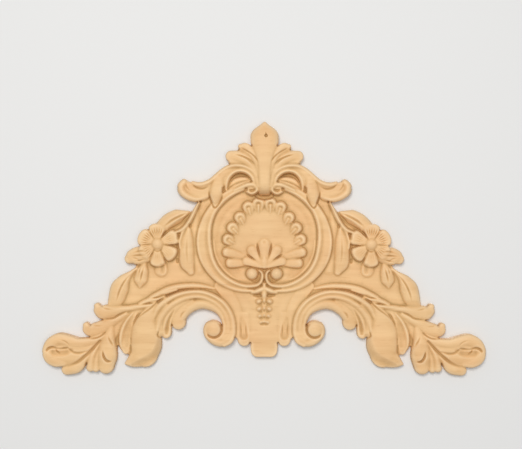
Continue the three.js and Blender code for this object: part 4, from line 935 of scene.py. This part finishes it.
def press_pit(solid):
    """The small round pit near the tip of the crown, on one side only."""
    centre = Vector((PIT_PLACE[0] * UNIT * MM, PIT_PLACE[1] * UNIT * MM))
    hollow = solid.verts.layers.float["hollow"]

    def off(vert):
        """How many pit radii away it lies, and far away on the back."""
        aside = Vector((vert.co.x, vert.co.z)) - centre
        return aside.length / (PIT_WIDTH / 2 * MM) if vert.co.y < -GROUND * MM else 99

    # The face is made finer round the pit first
    for _ in range(2):
        near = [e for e in solid.edges if max(off(v) for v in e.verts) < 2.2]
        bmesh.ops.subdivide_edges(solid, edges=near, cuts=2)
        split = [f for f in solid.faces if len(f.verts) > 3 and off(f.verts[0]) < 4]
        bmesh.ops.triangulate(solid, faces=split)
    for vert in solid.verts:
        reach = off(vert)
        if reach < 1:
            vert.co.y += PIT_DEPTH * MM * (1 - reach**4)
        # Points in and just round the pit are set fully hollow, which paints shade into the pit
        if reach < 1.1:
            vert[hollow] = 1.0


def close_back(solid):
    """Cuts the plane between the rim's edges into triangles, and keeps those inside the rim."""
    open_edges = [e for e in solid.edges if e.is_boundary]
    rim = sorted({v for e in open_edges for v in e.verts}, key=lambda v: v.index)
    order = {v: i for i, v in enumerate(rim)}
    flat = [Vector((v.co.x, v.co.z)) for v in rim]
    pairs = [(order[e.verts[0]], order[e.verts[1]]) for e in open_edges]
    found = delaunay_2d_cdt(flat, pairs, [], 0, 1e-9)
    corners, faces, came_from = found[0], found[2], found[3]
    middles = np.array([np.mean([corners[k] for k in face], axis=0) for face in faces])
    kept = within([(flat[a], flat[b]) for a, b in pairs], middles[:, 0], middles[:, 1])
    for face, is_kept in zip(faces, kept):
        if is_kept:
            solid.faces.new([rim[came_from[k][0]] for k in face])


def applique():
    for draw in FORMS:
        draw()
    inside[:] = soft(np.clip(inside, -EDGE_REACH, EDGE_REACH), OUTLINE_BLUR)
    soften(FORM_BLUR)
    for carve in FINE_LINES:
        carve()
    soften(LINE_BLUR)
    hand_finish()
    round_edge()
    half = thinned(mesh_from(*front_skin(), "half"), SKIN_TRIANGLES)
    solid = whole_from(half)
    press_pit(solid)
    mesh = bpy.data.meshes.new("carving")
    solid.to_mesh(mesh)
    solid.free()
    keep_in_box(mesh)
    mesh.shade_smooth()
    mesh.set_sharp_from_angle(angle=SHARP_EDGE)
    carving = bpy.data.objects.new("carving", mesh)
    bpy.context.scene.collection.objects.link(carving)
    return carving


def keep_in_box(mesh):
    """Brings points that stand out of the CAD box back onto it."""
    low, high = np.array(CAD_BOX[0]), np.array(CAD_BOX[1])
    place = np.zeros(len(mesh.vertices) * 3)
    mesh.vertices.foreach_get("co", place)
    place = np.clip(place.reshape(-1, 3), low, high)
    mesh.vertices.foreach_set("co", place.ravel())
    mesh.update()


def node(material, kind, **values):
    made = material.node_tree.nodes.new(kind)
    for name, value in values.items():
        setattr(made, name, value)
    return made


def noise(material, place, scale, detail, roughness=0.6):
    """Noise drawn out along the grain, which runs across the piece."""
    stretched = node(material, "ShaderNodeMapping")
    stretched.inputs["Scale"].default_value = scale
    material.node_tree.links.new(place.outputs["Object"], stretched.inputs["Vector"])
    made = node(material, "ShaderNodeTexNoise")
    made.inputs["Scale"].default_value = 1.0
    made.inputs["Detail"].default_value = detail
    made.inputs["Roughness"].default_value = roughness
    material.node_tree.links.new(stretched.outputs["Vector"], made.inputs["Vector"])
    return made.outputs["Fac"]


def mapped(material, value, low, high, to_low, to_high):
    """The value moved from one span to another."""
    made = node(material, "ShaderNodeMapRange")
    for name, amount in (("From Min", low), ("From Max", high), ("To Min", to_low), ("To Max", to_high)):
        made.inputs[name].default_value = amount
    material.node_tree.links.new(value, made.inputs["Value"])
    return made.outputs["Result"]


def mixed(material, factor, under, over, blend="MIX"):
    """One colour laid over another."""
    made = node(material, "ShaderNodeMix", data_type="RGBA", blend_type=blend)
    made.inputs["B"].default_value = (*over, 1)
    material.node_tree.links.new(factor, made.inputs["Factor"])
    material.node_tree.links.new(under, made.inputs["A"])
    return made.outputs["Result"]


def wood():
    """Pale close-grained wood, bare and sanded, with painted shade browning its hollows and a painted
    highlight paling its crests.
    """
    material = bpy.data.materials.new("wood")
    material.use_nodes = True
    link = material.node_tree.links.new
    shader = material.node_tree.nodes["Principled BSDF"]
    shader.inputs["Specular IOR Level"].default_value = 0.35
    dark_band, pale_band = (0.725, 0.44, 0.195, 1), (0.86, 0.565, 0.28, 1)
    # pinker and fleck are wood tones; the third colour is the brown of the painted shade in the hollows
    pinker, fleck, painted_shade_brown = (1.0, 0.95, 0.93), (0.82, 0.75, 0.66), (0.64, 0.62, 0.52)
    # The paler tone of the painted highlight on the crests
    painted_highlight_tone = (0.92, 0.68, 0.41)
    place = node(material, "ShaderNodeTexCoord")
    hollow = node(material, "ShaderNodeAttribute", attribute_name="hollow").outputs["Fac"]

    # Growth bands, then a slow drift between pinker and yellower wood, then short dark flecks
    grain = noise(material, place, (14, 160, 160), 6)
    tones = node(material, "ShaderNodeValToRGB")
    tones.color_ramp.elements[0].position = 0.3
    tones.color_ramp.elements[0].color = dark_band
    tones.color_ramp.elements[1].position = 0.7
    tones.color_ramp.elements[1].color = pale_band
    link(grain, tones.inputs["Fac"])
    drift = mapped(material, noise(material, place, (16, 30, 30), 2), 0.42, 0.62, 0, 1)
    colour = mixed(material, drift, tones.outputs["Color"], pinker, "MULTIPLY")
    streak = noise(material, place, (90, 1500, 1500), 2)
    flecks = mapped(material, streak, 0.62, 0.72, 0, 0.5)
    colour = mixed(material, flecks, colour, fleck, "MULTIPLY")

    # Painted shade: the hollows are multiplied towards brown. Painted highlight: the crests are mixed
    # towards a paler tone.
    colour = mixed(material, hollow, colour, painted_shade_brown, "MULTIPLY")
    painted_highlight_mix = mapped(material, hollow, -0.1, -0.9, 0, 0.45)
    colour = mixed(material, painted_highlight_mix, colour, painted_highlight_tone)
    link(colour, shader.inputs["Base Color"])

    dull = node(material, "ShaderNodeMath", operation="ADD")
    link(mapped(material, grain, 0.3, 0.7, 0.5, 0.62), dull.inputs[0])
    link(mapped(material, hollow, -0.8, 0.8, -0.08, 0.12), dull.inputs[1])
    link(dull.outputs["Value"], shader.inputs["Roughness"])

    bump = node(material, "ShaderNodeBump")
    bump.inputs["Strength"].default_value = 0.3
    bump.inputs["Distance"].default_value = 0.0001
    link(noise(material, place, (260, 2200, 2200), 3, 0.5), bump.inputs["Height"])
    link(bump.outputs["Normal"], shader.inputs["Normal"])
    return material


def pale(name, colour):
    """Plain paint, seen from its front only, so that it doesn't hide the object from behind."""
    material = bpy.data.materials.new(name)
    material.use_nodes = True
    link = material.node_tree.links.new
    shader = material.node_tree.nodes["Principled BSDF"]
    shader.inputs["Base Color"].default_value = colour
    shader.inputs["Roughness"].default_value = 0.9
    shader.inputs["Specular IOR Level"].default_value = 0.1
    clear = node(material, "ShaderNodeBsdfTransparent")
    facing = node(material, "ShaderNodeNewGeometry")
    either = node(material, "ShaderNodeMixShader")
    link(facing.outputs["Backfacing"], either.inputs["Fac"])
    link(shader.outputs["BSDF"], either.inputs[1])
    link(clear.outputs["BSDF"], either.inputs[2])
    link(either.outputs["Shader"], material.node_tree.nodes["Material Output"].inputs["Surface"])
    return material


def backdrop():
    """A pale wall behind the applique that curves into a pale floor."""
    wall, top, floor, bend, far = 0.0004, 1.6, -0.42, 0.12, 2.2
    bend_steps = 12
    profile = [(wall, top), (wall, floor + bend)]
    for k in range(1, bend_steps + 1):
        turn = k / bend_steps * math.pi / 2
        profile.append((wall - bend + bend * math.cos(turn), floor + bend - bend * math.sin(turn)))
    profile.append((-far, floor))
    points = [(x, y, z) for x in (-far, far) for y, z in profile]
    count = len(profile)
    faces = [(i, i + 1, count + i + 1, count + i) for i in range(count - 1)]
    mesh = bpy.data.meshes.new("backdrop")
    mesh.from_pydata(points, [], faces)
    mesh.shade_smooth()
    made = bpy.data.objects.new("backdrop", mesh)
    made.data.materials.append(pale("paint", (0.78, 0.77, 0.75, 1)))
    bpy.context.scene.collection.objects.link(made)
    made.visible_shadow = False
    made.visible_diffuse = False


def lamp(name, place, target, size, power):
    light = bpy.data.lights.new(name, "AREA")
    light.shape = "DISK"
    light.size = size
    light.energy = power
    made = bpy.data.objects.new(name, light)
    made.location = place
    made.rotation_euler = (Vector(target) - Vector(place)).to_track_quat("-Z", "Y").to_euler()
    bpy.context.scene.collection.objects.link(made)


def lighting():
    """A soft window above on the left, a pale room in front, and a lamp behind. In metres and watts."""
    middle = (0, 0, 0)
    lamp("window", (-0.12, -1.1, 0.34), middle, 0.35, 6.2)
    lamp("room", (0.1, -1.3, 0.0), middle, 0.9, 4.8)
    lamp("behind", (0.2, 1.2, 0.5), middle, 0.8, 6)
    world = bpy.data.worlds.new("air")
    world.use_nodes = True
    world.node_tree.nodes["Background"].inputs["Color"].default_value = (0.95, 0.97, 1, 1)
    world.node_tree.nodes["Background"].inputs["Strength"].default_value = 0.36
    bpy.context.scene.world = world
    bpy.context.scene.view_settings.view_transform = "Standard"


def camera():
    """Straight on. The picture's middle lies a little left of and above the applique's."""
    pixels_wide = 522
    axis_at, middle_at, picture_middle = 264.4, 248.0, (261.0, 224.5)
    squares_to_metres = UNIT * MM
    distance = 0.62
    plane = -0.0045  # the depth that is seen at the drawn scale
    eye = bpy.data.cameras.new("camera")
    eye.sensor_width = 36
    eye.lens = eye.sensor_width * distance / (pixels_wide * squares_to_metres)
    eye.clip_start, eye.clip_end = 0.01, 20
    made = bpy.data.objects.new("camera", eye)
    made.location = ((picture_middle[0] - axis_at) * squares_to_metres, plane - distance,
                     (middle_at - picture_middle[1]) * squares_to_metres)
    made.rotation_euler = (math.pi / 2, ROLL, 0)
    bpy.context.scene.collection.objects.link(made)
    bpy.context.scene.camera = made


carving = applique()
carving.data.materials.append(wood())
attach(carving, "root")
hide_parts("applique")
backdrop()
lighting()
camera()
